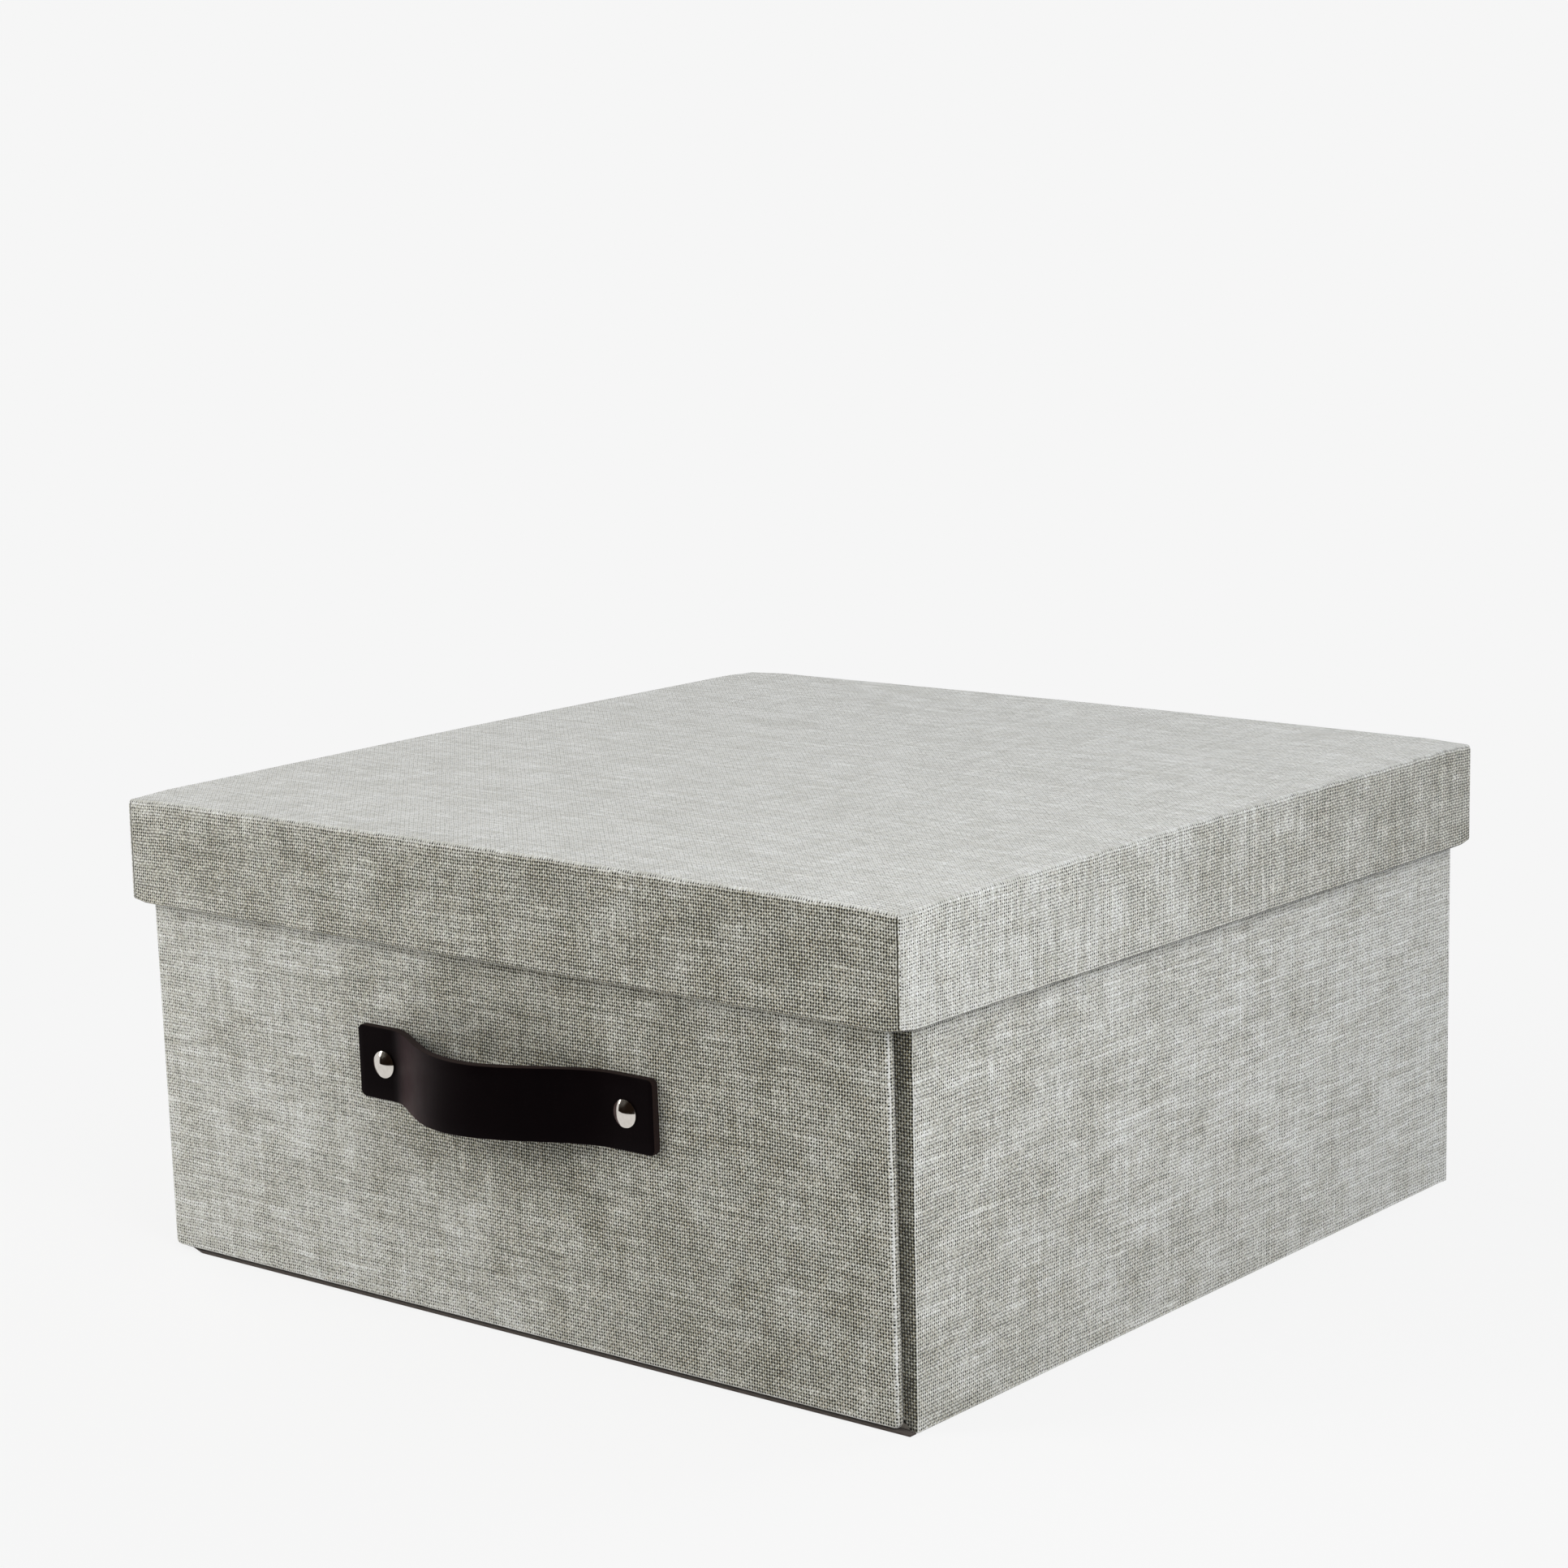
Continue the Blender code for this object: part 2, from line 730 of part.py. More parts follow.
def turned(name, profile, location, tilt, frame):
    """A turned piece: its profile runs down the outer side and is swept round its own Z."""
    work = bmesh.new()
    points = [work.verts.new((radius, 0.0, z)) for radius, z in profile]
    for pair in zip(points, points[1:]):
        work.edges.new(pair)
    mesh = bpy.data.meshes.new(name)
    work.to_mesh(mesh)
    work.free()
    obj = part(name, mesh, "nickel", frame)
    screw = obj.modifiers.new("turn", "SCREW")
    screw.steps = turned_steps
    screw.render_steps = turned_steps
    screw.use_merge_vertices = True
    screw.merge_threshold = merge_distance
    obj.location = location
    obj.rotation_euler = (tilt, 0.0, 0.0)
    mesh.shade_smooth()
    return obj


def dome(radius, height, brim):
    """Points from the crown of a shallow dome out to its rim, then down its brim."""
    turns = [math.pi / 2 * i / dome_steps for i in range(dome_steps + 1)]
    crown = height - brim
    curve = [(radius * math.sin(turn), brim + crown * math.cos(turn)) for turn in turns]
    return curve + [(radius, 0.0)]


def build_rivet(side, x, frame):
    z = strap_height_z - panel_foot
    seat = wall + fit_gap + strap_thickness + fit_gap
    shank = seat + fit_gap + rivet_shank_entry
    profile = dome(rivet_cap_radius, rivet_cap_height, rivet_cap_brim)
    profile += [(rivet_shank_radius, 0.0), (rivet_shank_radius, -shank), (0.0, -shank)]
    turned(f"{side}_rivet", profile, (x, -seat, z), math.pi / 2, frame)
    profile = dome(rivet_back_radius, rivet_back_height, rivet_back_brim)
    profile += [(hole_radius, 0.0), (hole_radius, rivet_socket_depth), (0.0, rivet_socket_depth)]
    turned(f"{side}_rivet_back", profile, (x, fit_gap, z), -math.pi / 2, frame)


# Pads of hooks on the flaps and pads of loops on the panel


def build_pads(side, way, frame):
    near_x = wall_face_x - pad_edge_inset
    x_ends = (way * near_x, way * (near_x - pad_size))
    y_high = wall_front_y - fit_gap
    z_ends = (pad_top - pad_size, pad_top)
    corners = spanning(x_ends, (y_high - pad_height, y_high), z_ends)
    name = f"{side}_hook_pad"
    part(name, block(name, *corners), "fastener")
    z_ends = (pad_top - pad_size - panel_foot, pad_top - panel_foot)
    corners = spanning(x_ends, (fit_gap, fit_gap + pad_height), z_ends)
    name = f"{side}_loop_pad"
    part(name, block(name, *corners), "fastener", frame)


build_lid_cover()
build_lid_boards()
build_lid_liner()
for side_name, side_way in sides.items():
    build_side_cover(side_name, side_way)
    build_side_boards(side_name, side_way)
    build_side_liner(side_name, side_way)
    build_corner_stay(side_name, side_way)
build_back_wall()
build_base()
build_hinge()
panel_hinge = panel_frame()
rivets = {"left": rivet_left_x, "right": rivet_right_x}
rivet_holes = [rivet_hole(f"{key}_rivet_hole", x, panel_hinge) for key, x in rivets.items()]
build_panel(panel_hinge, rivet_holes)
build_strap(panel_hinge, rivet_holes)
for side_name, rivet_x in rivets.items():
    build_rivet(side_name, rivet_x, panel_hinge)
for side_name, side_way in sides.items():
    build_pads(side_name, side_way, panel_hinge)
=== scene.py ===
# %% [markdown]
# # A canvas storage box with a drop front
#
# The real box is greyboard covered in a coated linen canvas. Its lid lifts off, its front panel
# folds down on a strip of cloth, and a short leather strap on two rivets is its handle. The frame
# below holds the measured solids, every one in its true place in metres. This file dresses them:
# it models again what has to look soft or fine, and gives each piece the finish of its material.

import math
import random

import bmesh
import bpy
from mathutils import Matrix, Vector


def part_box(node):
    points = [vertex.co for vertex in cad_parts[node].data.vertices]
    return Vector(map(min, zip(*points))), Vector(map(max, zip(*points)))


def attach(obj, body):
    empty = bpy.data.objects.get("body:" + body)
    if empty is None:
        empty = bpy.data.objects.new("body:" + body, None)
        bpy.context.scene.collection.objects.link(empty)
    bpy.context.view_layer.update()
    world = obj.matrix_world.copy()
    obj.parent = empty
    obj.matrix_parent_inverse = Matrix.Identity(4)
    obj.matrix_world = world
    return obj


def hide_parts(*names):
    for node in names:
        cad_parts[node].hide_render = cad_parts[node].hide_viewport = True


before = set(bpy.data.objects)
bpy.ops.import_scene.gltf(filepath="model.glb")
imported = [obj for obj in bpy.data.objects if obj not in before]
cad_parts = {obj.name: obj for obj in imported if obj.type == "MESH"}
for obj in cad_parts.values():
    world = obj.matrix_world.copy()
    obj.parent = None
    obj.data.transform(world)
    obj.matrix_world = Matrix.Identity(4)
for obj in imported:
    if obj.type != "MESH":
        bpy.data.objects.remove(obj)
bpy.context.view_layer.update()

# %% [markdown]
# ## Sizes
#
# A piece that stands for a measured solid has to stay in that solid's place. So most sizes are
# read from the solids' own boxes, and only what they don't say is written here: how thick the
# cloth is, how tight its folds are, and where the loose edges lie.

# %% Sizes read from the frame, and sizes of the cloth
MM = 0.001
SHEET = 0.35 * MM
BOARD_GAP = 0.25 * MM
WRAPPED = 3.0 * MM
TURN_IN = 15 * MM
# Places nearer to each other than a hair are taken for the same place.
HAIR = 0.02 * MM

lid_low, lid_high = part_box("lid_cover")
wall_low, wall_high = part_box("right_wall_cover")
back_low, back_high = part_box("back_wall_cover")
flap_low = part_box("right_flap_board")[0]
strap_low, strap_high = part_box("handle_strap")
base_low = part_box("base_wrap")[0]
hinge_low, hinge_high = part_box("front_hinge_cloth")
panel_low, panel_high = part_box("front_panel_cover")
print("lid", [round(v / MM, 1) for v in lid_high - lid_low], "mm")
print("right wall", [round(v / MM, 1) for v in wall_high - wall_low], "mm")

# %% [markdown]
# ## Helpers for modelling by hand
#
# Blender's operators act on whatever is selected. These helpers do what the hand does before each
# operator: clear the selection, take one object, and pick its faces or edges by where they are.

# %% Selecting


def deselect():
    bpy.ops.object.select_all(action="DESELECT")


def take(obj):
    """Selects this object alone, in object mode."""
    if bpy.context.mode != "OBJECT":
        bpy.ops.object.mode_set(mode="OBJECT")
    deselect()
    obj.select_set(True)
    bpy.context.view_layer.objects.active = obj


def pick(obj, kind, test):
    """Selects the vertices, edges or faces that pass the test, in edit mode, and counts them."""
    if bpy.context.mode == "OBJECT":
        take(obj)
        bpy.ops.object.mode_set(mode="EDIT")
    bpy.ops.mesh.select_mode(type=kind)
    bpy.ops.mesh.select_all(action="DESELECT")
    work = bmesh.from_edit_mesh(obj.data)
    work.normal_update()
    found = [item for item in getattr(work, kind.lower() + "s") if test(item)]
    for item in found:
        item.select_set(True)
    work.select_flush_mode()
    bmesh.update_edit_mesh(obj.data)
    return len(found)


def faces_towards(x=0, y=0, z=0):
    way = Vector((x, y, z))
    return lambda face: face.normal.dot(way) > 0.9


def middle(item):
    return sum((vert.co for vert in item.verts), Vector()) / len(item.verts)


def ease(share):
    """A share held between nought and one, with soft ends."""
    share = min(max(share, 0), 1)
    return share**2 * (3 - 2 * share)


def runs_along(edge, axis):
    span = edge.verts[1].co - edge.verts[0].co
    return abs(span[axis]) > 0.99 * span.length


def whole(test):
    """Passes an edge whose vertices all pass the test."""
    return lambda edge: all(test(vert) for vert in edge.verts)


def folded(edge, angle=0.5):
    """Whether two faces meet at this edge at more than the angle, in radians."""
    return edge.calc_face_angle(0) > angle


# %% Making and finishing a piece


def new_block(name, low, high):
    """A cube primitive, added at its place and size."""
    deselect()
    low, high = Vector(low), Vector(high)
    bpy.ops.mesh.primitive_cube_add(size=1, location=(low + high) / 2, scale=high - low)
    bpy.ops.object.transform_apply()
    obj = bpy.context.object
    obj.name = name
    return obj


def new_plane(name, place, size, turned=(0, 0, 0)):
    """A plane primitive, added at its place, turned and scaled."""
    deselect()
    bpy.ops.mesh.primitive_plane_add(size=1, location=place, rotation=turned)
    obj = bpy.context.object
    obj.name = name
    obj.scale = (*size, 1)
    bpy.ops.object.transform_apply()
    return obj


def new_object(name, data):
    """An object that isn't a primitive: a mesh made in code, a camera or a lamp."""
    obj = bpy.data.objects.new(name, data)
    bpy.context.scene.collection.objects.link(obj)
    return obj


def take_out(obj, test):
    """Deletes the faces that pass the test."""
    pick(obj, "FACE", test)
    bpy.ops.mesh.delete(type="FACE")


def move(x=0, y=0, z=0):
    bpy.ops.transform.translate(value=(x, y, z))


def extrude_edges(x=0, y=0, z=0):
    bpy.ops.mesh.extrude_edges_move(TRANSFORM_OT_translate={"value": (x, y, z)})


def extrude_faces(x=0, y=0, z=0):
    bpy.ops.mesh.extrude_region_move(TRANSFORM_OT_translate={"value": (x, y, z)})


def round_edges(obj, test, radius, segments=3):
    """Bevels the edges that pass the test to a round, and counts them."""
    found = pick(obj, "EDGE", test)
    bpy.ops.mesh.bevel(offset=radius, segments=segments, profile=0.5, affect="EDGES")
    return found


def cut(obj, co, normal, test=lambda face: True):
    """A straight cut through the faces that pass the test."""
    pick(obj, "FACE", test)
    bpy.ops.mesh.bisect(plane_co=co, plane_no=normal)


def add_thickness(obj, thickness, rim=0, offset=-1):
    """Gives a sheet its thickness: inwards from what shows, or with 0 about its middle."""
    take(obj)
    solid = obj.modifiers.new("thickness", "SOLIDIFY")
    solid.thickness = thickness
    solid.offset = offset
    solid.material_offset_rim = rim
    bpy.ops.object.modifier_apply(modifier=solid.name)


def smooth(obj, angle=35):
    take(obj)
    bpy.ops.object.shade_smooth_by_angle(angle=math.radians(angle))


def ready(obj, body, slot, *nodes):
    """Takes a finished piece into the object, in place of the nodes that it stands for."""
    take(obj)
    deselect()
    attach(obj, body)
    if nodes:
        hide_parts(*nodes)
    size = Vector(obj.dimensions) / MM
    print(obj.name, [round(v, 1) for v in size], "mm", len(obj.data.polygons), "faces")
    return obj


# %% [markdown]
# ## Laying the weave
#
# Cloth has a direction: its threads run along the piece and turn over the edges with it. Object
# coordinates would cut the weave off at every fold, so each cloth piece gets its own UV map, in
# metres of cloth. The main face is laid flat, and every face round it is unfolded about the edge
# that they share. Each piece is cut from another place in the bolt, so no two show the same slub.

# %% Unfolding a covered board into cloth
FOLD_SHARE = 2 - math.sqrt(2)
FOLD_COATING = 2.0


def unfold(obj, axis, way, radius, bolt, rub_and_shade=None):
    """Writes the UV map of a folded sheet. Axis and way say where its main face looks.

    The rub function gives, for a point and its face's normal, how much more than usual the coating
    is rubbed off there; in some places it also carries painted shade. Round a fold the coating is
    always thick.
    """
    take(obj)
    mesh = obj.data
    points = [vert.co for vert in mesh.vertices]
    low = [min(p[i] for p in points) for i in range(3)]
    high = [max(p[i] for p in points) for i in range(3)]
    main = high[axis] if way > 0 else low[axis]
    flat = [i for i in range(3) if i != axis]
    mesh.attributes.new("rub_and_shade", "FLOAT", "CORNER")
    mesh.uv_layers.new(name="cloth")
    layer, rub_and_shade_layer = mesh.uv_layers["cloth"], mesh.attributes["rub_and_shade"]
    for polygon in mesh.polygons:
        normal = polygon.normal
        face_axis = max(range(3), key=lambda i: abs(normal[i]))
        side = 1 if normal[face_axis] > 0 else -1
        for index in polygon.loop_indices:
            point = mesh.vertices[mesh.loops[index].vertex_index].co
            place = [point[i] for i in flat]
            if face_axis != axis:
                limit = high[face_axis] if side > 0 else low[face_axis]
                down = abs(main - point[axis]) - FOLD_SHARE * radius
                place[flat.index(face_axis)] = limit + side * down
            layer.data[index].uv = (place[0] + bolt[0], place[1] + bolt[1])
            wear_and_shade = rub_and_shade(point, normal) if rub_and_shade else 0.0
            turned = 1 - max(value**2 for value in normal)
            rub_and_shade_layer.data[index].value = wear_and_shade - FOLD_COATING * turned


# %% [markdown]
# ## The lid's canvas
#
# One sheet covers the lid's top, folds down over its four sides, turns in under the skirt and is
# glued up its inside. It could be a thick box, but then its lower edge would look like a block.
# Here a cube loses its bottom, its open edge is extruded in and up as the turn-in, the folds are
# rounded, and the sheet gets its real thickness last.

# %% Fold the lid's sheet
LID_CORNER = 1.3 * MM
LID_SHOULDER = 2.2 * MM
LID_LOWER_FOLD = 1.1 * MM
lid = new_block("lid_canvas", lid_low, lid_high)
take_out(lid, faces_towards(z=-1))
pick(lid, "EDGE", lambda edge: edge.is_boundary)
extrude_edges()
bpy.ops.transform.resize(
    value=(1 - WRAPPED / lid_high.x, 1 - WRAPPED / lid_high.y, 1),
    center_override=(0, 0, lid_low.z),
)
extrude_edges(z=2 * TURN_IN)
round_edges(
    lid,
    lambda edge: not edge.is_boundary
    and middle(edge).z > lid_low.z + MM
    and max(abs(middle(edge).x) / lid_high.x, abs(middle(edge).y) / lid_high.y) > 0.995,
    LID_CORNER,
    5,
)
pick(lid, "VERT", lambda vert: vert.co.z > lid_high.z - LID_CORNER - HAIR)
bpy.ops.transform.resize(
    value=(1, 1, LID_SHOULDER / LID_CORNER), center_override=(0, 0, lid_high.z)
)
on_foot = whole(lambda vert: vert.co.z < lid_low.z + HAIR / 2)
round_edges(lid, lambda edge: on_foot(edge) and folded(edge), LID_LOWER_FOLD, 4)

# %% [markdown]
# At each corner the side's cloth is wrapped round on to the front, and the front's cloth stops a
# little short of it. That leaves a fine open seam down the front and the back, beside each corner.
# It is cut as a groove, so that it holds a real shadow, and its faces get a material of their own:
# the cloth's raw edge, painted nearly black with painted shade so the seam reads as a dark slit.

# %% Open the seams beside the lid's corners
SEAM_INSET = 1.35 * MM
SEAM_WIDTH = 0.42 * MM
SEAM_DEPTH = 0.24 * MM
for _ in ("face", "seam"):
    lid.data.materials.append(None)
for face_way in (-1, 1):
    for corner_way in (-1, 1):
        seam_x = corner_way * (lid_high.x - SEAM_INSET - SEAM_WIDTH / 2)
        for edge_x in (seam_x - SEAM_WIDTH / 2, seam_x + SEAM_WIDTH / 2):
            cut(lid, (edge_x, 0, 0), (1, 0, 0), faces_towards(y=face_way))
        pick(
            lid,
            "FACE",
            lambda face: face.normal.y * face_way > 0.9
            and abs(middle(face).x - seam_x) < SEAM_WIDTH / 2
            and abs(middle(face).y) > lid_high.y - MM,
        )
        extrude_faces(y=-face_way * SEAM_DEPTH)
        found = pick(
            lid,
            "FACE",
            lambda face: abs(middle(face).x - seam_x) < 0.51 * SEAM_WIDTH
            and middle(face).y * face_way > lid_high.y - MM
            and face.calc_center_median().y * face_way < lid_high.y - HAIR,
        )
        lid.active_material_index = 1
        bpy.ops.object.material_slot_assign()
        print("seam at", round(seam_x / MM, 2), "mm,", found, "faces")


# %% [markdown]
# No covered board stays quite flat. The top is a little crowned and its corners sink, and the
# skirt's lower corners are drawn up. First more cuts are made, closest near the corners, to give
# vertices to move. The weave is laid before they move, so that it stretches with the cloth.

# %% Lay the weave, and soften the lid
CORNER_CUTS = (2.6 * MM, 4 * MM, 6 * MM, 9 * MM, 13 * MM, 18 * MM)
SPAN_CUTS = (0, 0.25, 0.5, 0.75)
CROWN = 1.2 * MM
SINK, SINK_REACH = 0.75 * MM, 20 * MM
RISE, RISE_REACH = 1.0 * MM, 7 * MM


def cut_grid(obj, heights):
    """Cuts all the way across, near the corners and along the spans, and level at the heights."""
    for half, normal in ((lid_high.x, (1, 0, 0)), (lid_high.y, (0, 1, 0))):
        places = [half - inset for inset in CORNER_CUTS] + [half * part for part in SPAN_CUTS]
        for place in places:
            for way in (-1, 1) if place else (1,):
                cut(obj, Vector(normal) * way * place, normal)
    for height in heights:
        cut(obj, (0, 0, height), (0, 0, 1))


def relax(obj, upper, lower):
    """Crowns what is above upper and sinks its corners, and draws up the corners below lower."""
    take(obj)
    for vert in obj.data.vertices:
        x, y, z = vert.co
        off = math.hypot(lid_high.x - abs(x), lid_high.y - abs(y))
        bow = [math.cos(math.pi / 2 * part) ** 2 for part in (x / lid_high.x, y / lid_high.y)]
        high = min(max((z - upper) / (lid_high.z - upper), 0), 1)
        low = min(max((lower - z) / (lower - lid_low.z), 0), 1)
        sunk = CROWN * sum(bow) / 2 - SINK * ease(1 - off / SINK_REACH)
        vert.co.z = z + high * sunk + low * RISE * ease(1 - off / RISE_REACH)


# The back of the box stands to the wall, and is rubbed a little less than usual.
UNUSED = -0.1


def lid_rub_and_shade(point, normal):
    """The top is given less than usual, so its holes stay small and pale. The front is rubbed,
    most at its right end. The sides are darker towards the back: partly wear, partly painted
    light falloff. The lower fold gets painted shade under the lid's edge, strong enough to
    darken even the fold's thick coating."""
    across, back = point.x / lid_high.x, point.y / lid_high.y
    facing = [value**2 for value in normal]
    # The lower fold's large share is painted shade under the lid's edge.
    level_rub_and_shade = -0.5 if normal.z > 0 else 3.2
    # Darker towards the back: partly wear, partly painted light falloff.
    side_rub_and_shade = -0.17 + 0.2 * back + 0.03 * back**2
    front_rub = 0.05 + 0.1 * across if normal.y < 0 else UNUSED
    return facing[0] * side_rub_and_shade + facing[1] * front_rub + facing[2] * level_rub_and_shade


skirt_cut = lid_low.z + 8 * MM
cut_grid(lid, (lid_low.z + 4 * MM, skirt_cut, lid_high.z - 5 * MM))
unfold(lid, 2, 1, LID_SHOULDER, (0.4, 0.7), lid_rub_and_shade)
relax(lid, skirt_cut, skirt_cut)
add_thickness(lid, SHEET)
smooth(lid)
ready(lid, "lid", "canvas", "lid_cover")

# %% [markdown]
# The boards under a soft corner are soft themselves, or they would come through the cloth. So the
# lid's five boards are cut again, their outer edges crushed round, and relaxed as the sheet is.

# %% Cut the lid's boards again
ARRIS = 1.2 * MM
boards_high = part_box("lid_top_board")[1]
lid_boards = []
for side in ("top", "front", "back", "left", "right"):
    low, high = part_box("lid_" + side + "_board")
    board = new_block("lid_" + side + "_greyboard", low, high)

    def on_outside(edge):
        spot = middle(edge)
        sides = abs(spot.x) > boards_high.x - HAIR, abs(spot.y) > boards_high.y - HAIR
        ends = spot.z > boards_high.z - HAIR or (side != "top" and spot.z < low.z + HAIR)
        return sum(sides) + ends > 1

    found = round_edges(board, on_outside, ARRIS)
    cut_grid(board, (skirt_cut,) if side != "top" else ())
    relax(board, low.z if side == "top" else lid_high.z - HAIR, skirt_cut)
    smooth(board)
    ready(board, "lid", "greyboard", "lid_" + side + "_board")
    lid_boards.append(board)
    print(found, "outer edges crushed")

# %% [markdown]
# ## The walls' canvas
#
# Each side wall is a covered board whose sheet runs on round the front corner, over the flap. The
# wall is a block, and the flap is extruded from it. The inner faces are inset by the turn-in and
# their middles deleted, which leaves what a bookbinder leaves: a frame of cloth turned in over
# the board's edges, with the lining glued over its raw edge.

# %% Fold the side walls' sheets
CRISP = 0.45 * MM
FLAP_RELIEF = 5.0 * MM
CORNER_RETURN = 1.3 * MM
flap_end = flap_low.x - SHEET - BOARD_GAP
flap_foot = flap_low.z - SHEET - BOARD_GAP
flap_y = wall_low.y + WRAPPED
stop_y = wall_high.y - WRAPPED - BOARD_GAP


def open_middle(obj, test):
    """Insets the faces that pass the test by the turn-in, and takes out what is left of them."""
    pick(obj, "FACE", test)
    bpy.ops.mesh.inset(thickness=TURN_IN, depth=0)
    bpy.ops.mesh.delete(type="FACE")


def wall_rub(point, normal):
    """The flap is made darker, with larger holes, than the side; the side is rubbed most at its
    near end, low down.
    """
    if normal.y < -0.7:
        return 0.38
    near, low = -point.y / wall_high.y, 1 - point.z / wall_high.z
    return -0.29 + 0.06 * near + 0.13 * max(0, near) * low


def side_wall(name, way, bolt):
    outer, inner = way * wall_high.x, way * (wall_high.x - WRAPPED)
    near, far = sorted((outer, inner))
    obj = new_block(name, (near, wall_low.y, wall_low.z), (far, stop_y, wall_high.z))
    cut(obj, (0, flap_y, 0), (0, 1, 0))
    pick(obj, "FACE", lambda face: face.normal.x * way < -0.9 and middle(face).y < flap_y)
    extrude_faces(x=way * (flap_end - abs(inner)))
    # The flap's foot slopes up from the wall's corner, and then runs level above the hinge.
    relief_x = wall_high.x - FLAP_RELIEF
    cut(obj, (way * relief_x, 0, 0), (1, 0, 0), lambda face: middle(face).y < flap_y + HAIR)
    pick(obj, "VERT", lambda v: abs(v.co.x) < relief_x + HAIR and v.co.z < wall_low.z + HAIR)
    move(z=flap_foot - wall_low.z)
    to_back = faces_towards(y=1)
    open_middle(obj, lambda f: f.normal.x * way < -0.9 and abs(middle(f).x - inner) < HAIR)
    open_middle(obj, lambda f: to_back(f) and middle(f).y < 0 and abs(middle(f).x) < relief_x)
    # At the back the sheet runs on past the board's end, and turns the corner.
    take_out(obj, lambda face: to_back(face) and middle(face).y > 0)
    pick(obj, "EDGE", whole(lambda v: abs(v.co.x - outer) < HAIR and v.co.y > stop_y - HAIR))
    extrude_edges(y=wall_high.y - stop_y)
    extrude_edges(x=-way * CORNER_RETURN)

    def crease(edge):
        spot = middle(edge)
        return abs(spot.x - inner) < HAIR and abs(spot.y - flap_y) < HAIR

    round_edges(obj, lambda edge: folded(edge) and not crease(edge), CRISP)
    unfold(obj, 0, way, CRISP, bolt, wall_rub)
    add_thickness(obj, SHEET)
    smooth(obj)
    return obj


side_walls = []
for side, way, bolt in (("right", 1, (1.3, 0.2)), ("left", -1, (2.1, 0.9))):
    wall = side_wall(side + "_wall_canvas", way, bolt)
    side_walls.append(ready(wall, "box", "canvas", side + "_wall_cover"))

# %% [markdown]
# The back wall's sheet is a sleeve: it goes over the board's top and under its foot, and its ends
# are covered by the side walls' sheets. So it is a block with open ends, and its inner face keeps
# two bands of turned-in cloth.

# %% Fold the back wall's sheet
back = new_block("back_wall_canvas", back_low, back_high)
take_out(back, lambda face: abs(face.normal.x) > 0.9)
bands = back_low.z + TURN_IN, back_high.z - TURN_IN
for band_z in bands:
    cut(back, (0, 0, band_z), (0, 0, 1), faces_towards(y=-1))
take_out(back, lambda f: f.normal.y < -0.9 and bands[0] < middle(f).z < bands[1])
round_edges(back, folded, CRISP)
unfold(back, 1, 1, CRISP, (3.2, 0.3), lambda point, normal: UNUSED)
add_thickness(back, SHEET)
smooth(back)
ready(back, "box", "canvas", "back_wall_cover")

# %% [markdown]
# ## The front panel's canvas
#
# The panel is a separate covered board that lies in front of the flaps and leans out a little. It
# is drawn upright in the frame of its hinge and then leant as one, together with the handle, so
# that nothing on it needs a slanted size. Its corners are rounder than the walls', because four
# layers of cloth are folded into each.

# %% The hinge's frame
PANEL_FOOT = 1.3 * MM
PANEL_LEAN = math.radians(0.95)
hinge_y = panel_high.y
panel_height = (panel_high.z - PANEL_FOOT) / math.cos(PANEL_LEAN)


def lean(obj):
    """Moves a piece drawn in the hinge's frame to its place on the leaning panel."""
    take(obj)
    obj.location = (0, hinge_y, PANEL_FOOT)
    obj.rotation_euler = (PANEL_LEAN, 0, 0)
    bpy.ops.object.transform_apply()
    return obj


print("panel", round(panel_height / MM, 1), "mm high, hinged at y", round(hinge_y / MM, 2))

# %% Fold the front panel's sheet
PANEL_CORNER = 2.0 * MM
PANEL_FRONT_FOLD = 1.2 * MM
PANEL_BACK_FOLD = 0.8 * MM
panel = new_block(
    "front_panel_canvas", (panel_low.x, -WRAPPED, 0), (panel_high.x, 0, panel_height)
)
round_edges(panel, lambda edge: runs_along(edge, 1), PANEL_CORNER, 4)
round_edges(panel, lambda e: folded(e) and middle(e).y < -WRAPPED + HAIR, PANEL_FRONT_FOLD, 4)
round_edges(panel, lambda e: folded(e) and middle(e).y > -HAIR, PANEL_BACK_FOLD)
open_middle(panel, faces_towards(y=1))

# %% [markdown]
# Hands have rubbed the panel round its handle, and its right side more than its left. Round the
# handle a painted shadow of the strap is added to that wear. How much is written at the
# vertices, so the panel gets a grid of cuts to carry it.

# %% Lay the panel's weave
STRAP_MIDDLE = 83.2 * MM - PANEL_FOOT
HAND_AND_SHADOW_ACROSS, HAND_AND_SHADOW_UP = 60 * MM, 28 * MM
PANEL_LOW_PART = 45 * MM
GRID_ACROSS, GRID_UP = 30 * MM, 18 * MM


def panel_rub_and_shade(point, normal):
    """Wear and a painted shadow of the strap round the handle, and wear down the right side as
    far as the panel's low part.
    """
    low = max(0, 1 - point.z / PANEL_LOW_PART)
    side = ease(0.75 + 1.1 * point.x / panel_high.x - 0.45 * low)
    away = Vector((point.x / HAND_AND_SHADOW_ACROSS, (point.z - STRAP_MIDDLE) / HAND_AND_SHADOW_UP))
    # The last term darkens the cloth round the strap: hand wear and a painted shadow of the strap.
    return -0.28 + 0.34 * side + 0.25 * math.exp(-away.length_squared)


for step in range(-4, 5):
    cut(panel, (step * GRID_ACROSS, 0, 0), (1, 0, 0))
for step in range(-3, 4):
    cut(panel, (0, 0, STRAP_MIDDLE + step * GRID_UP), (0, 0, 1))
unfold(panel, 1, -1, PANEL_FRONT_FOLD, (0.1, 1.6), panel_rub_and_shade)
add_thickness(panel, SHEET)

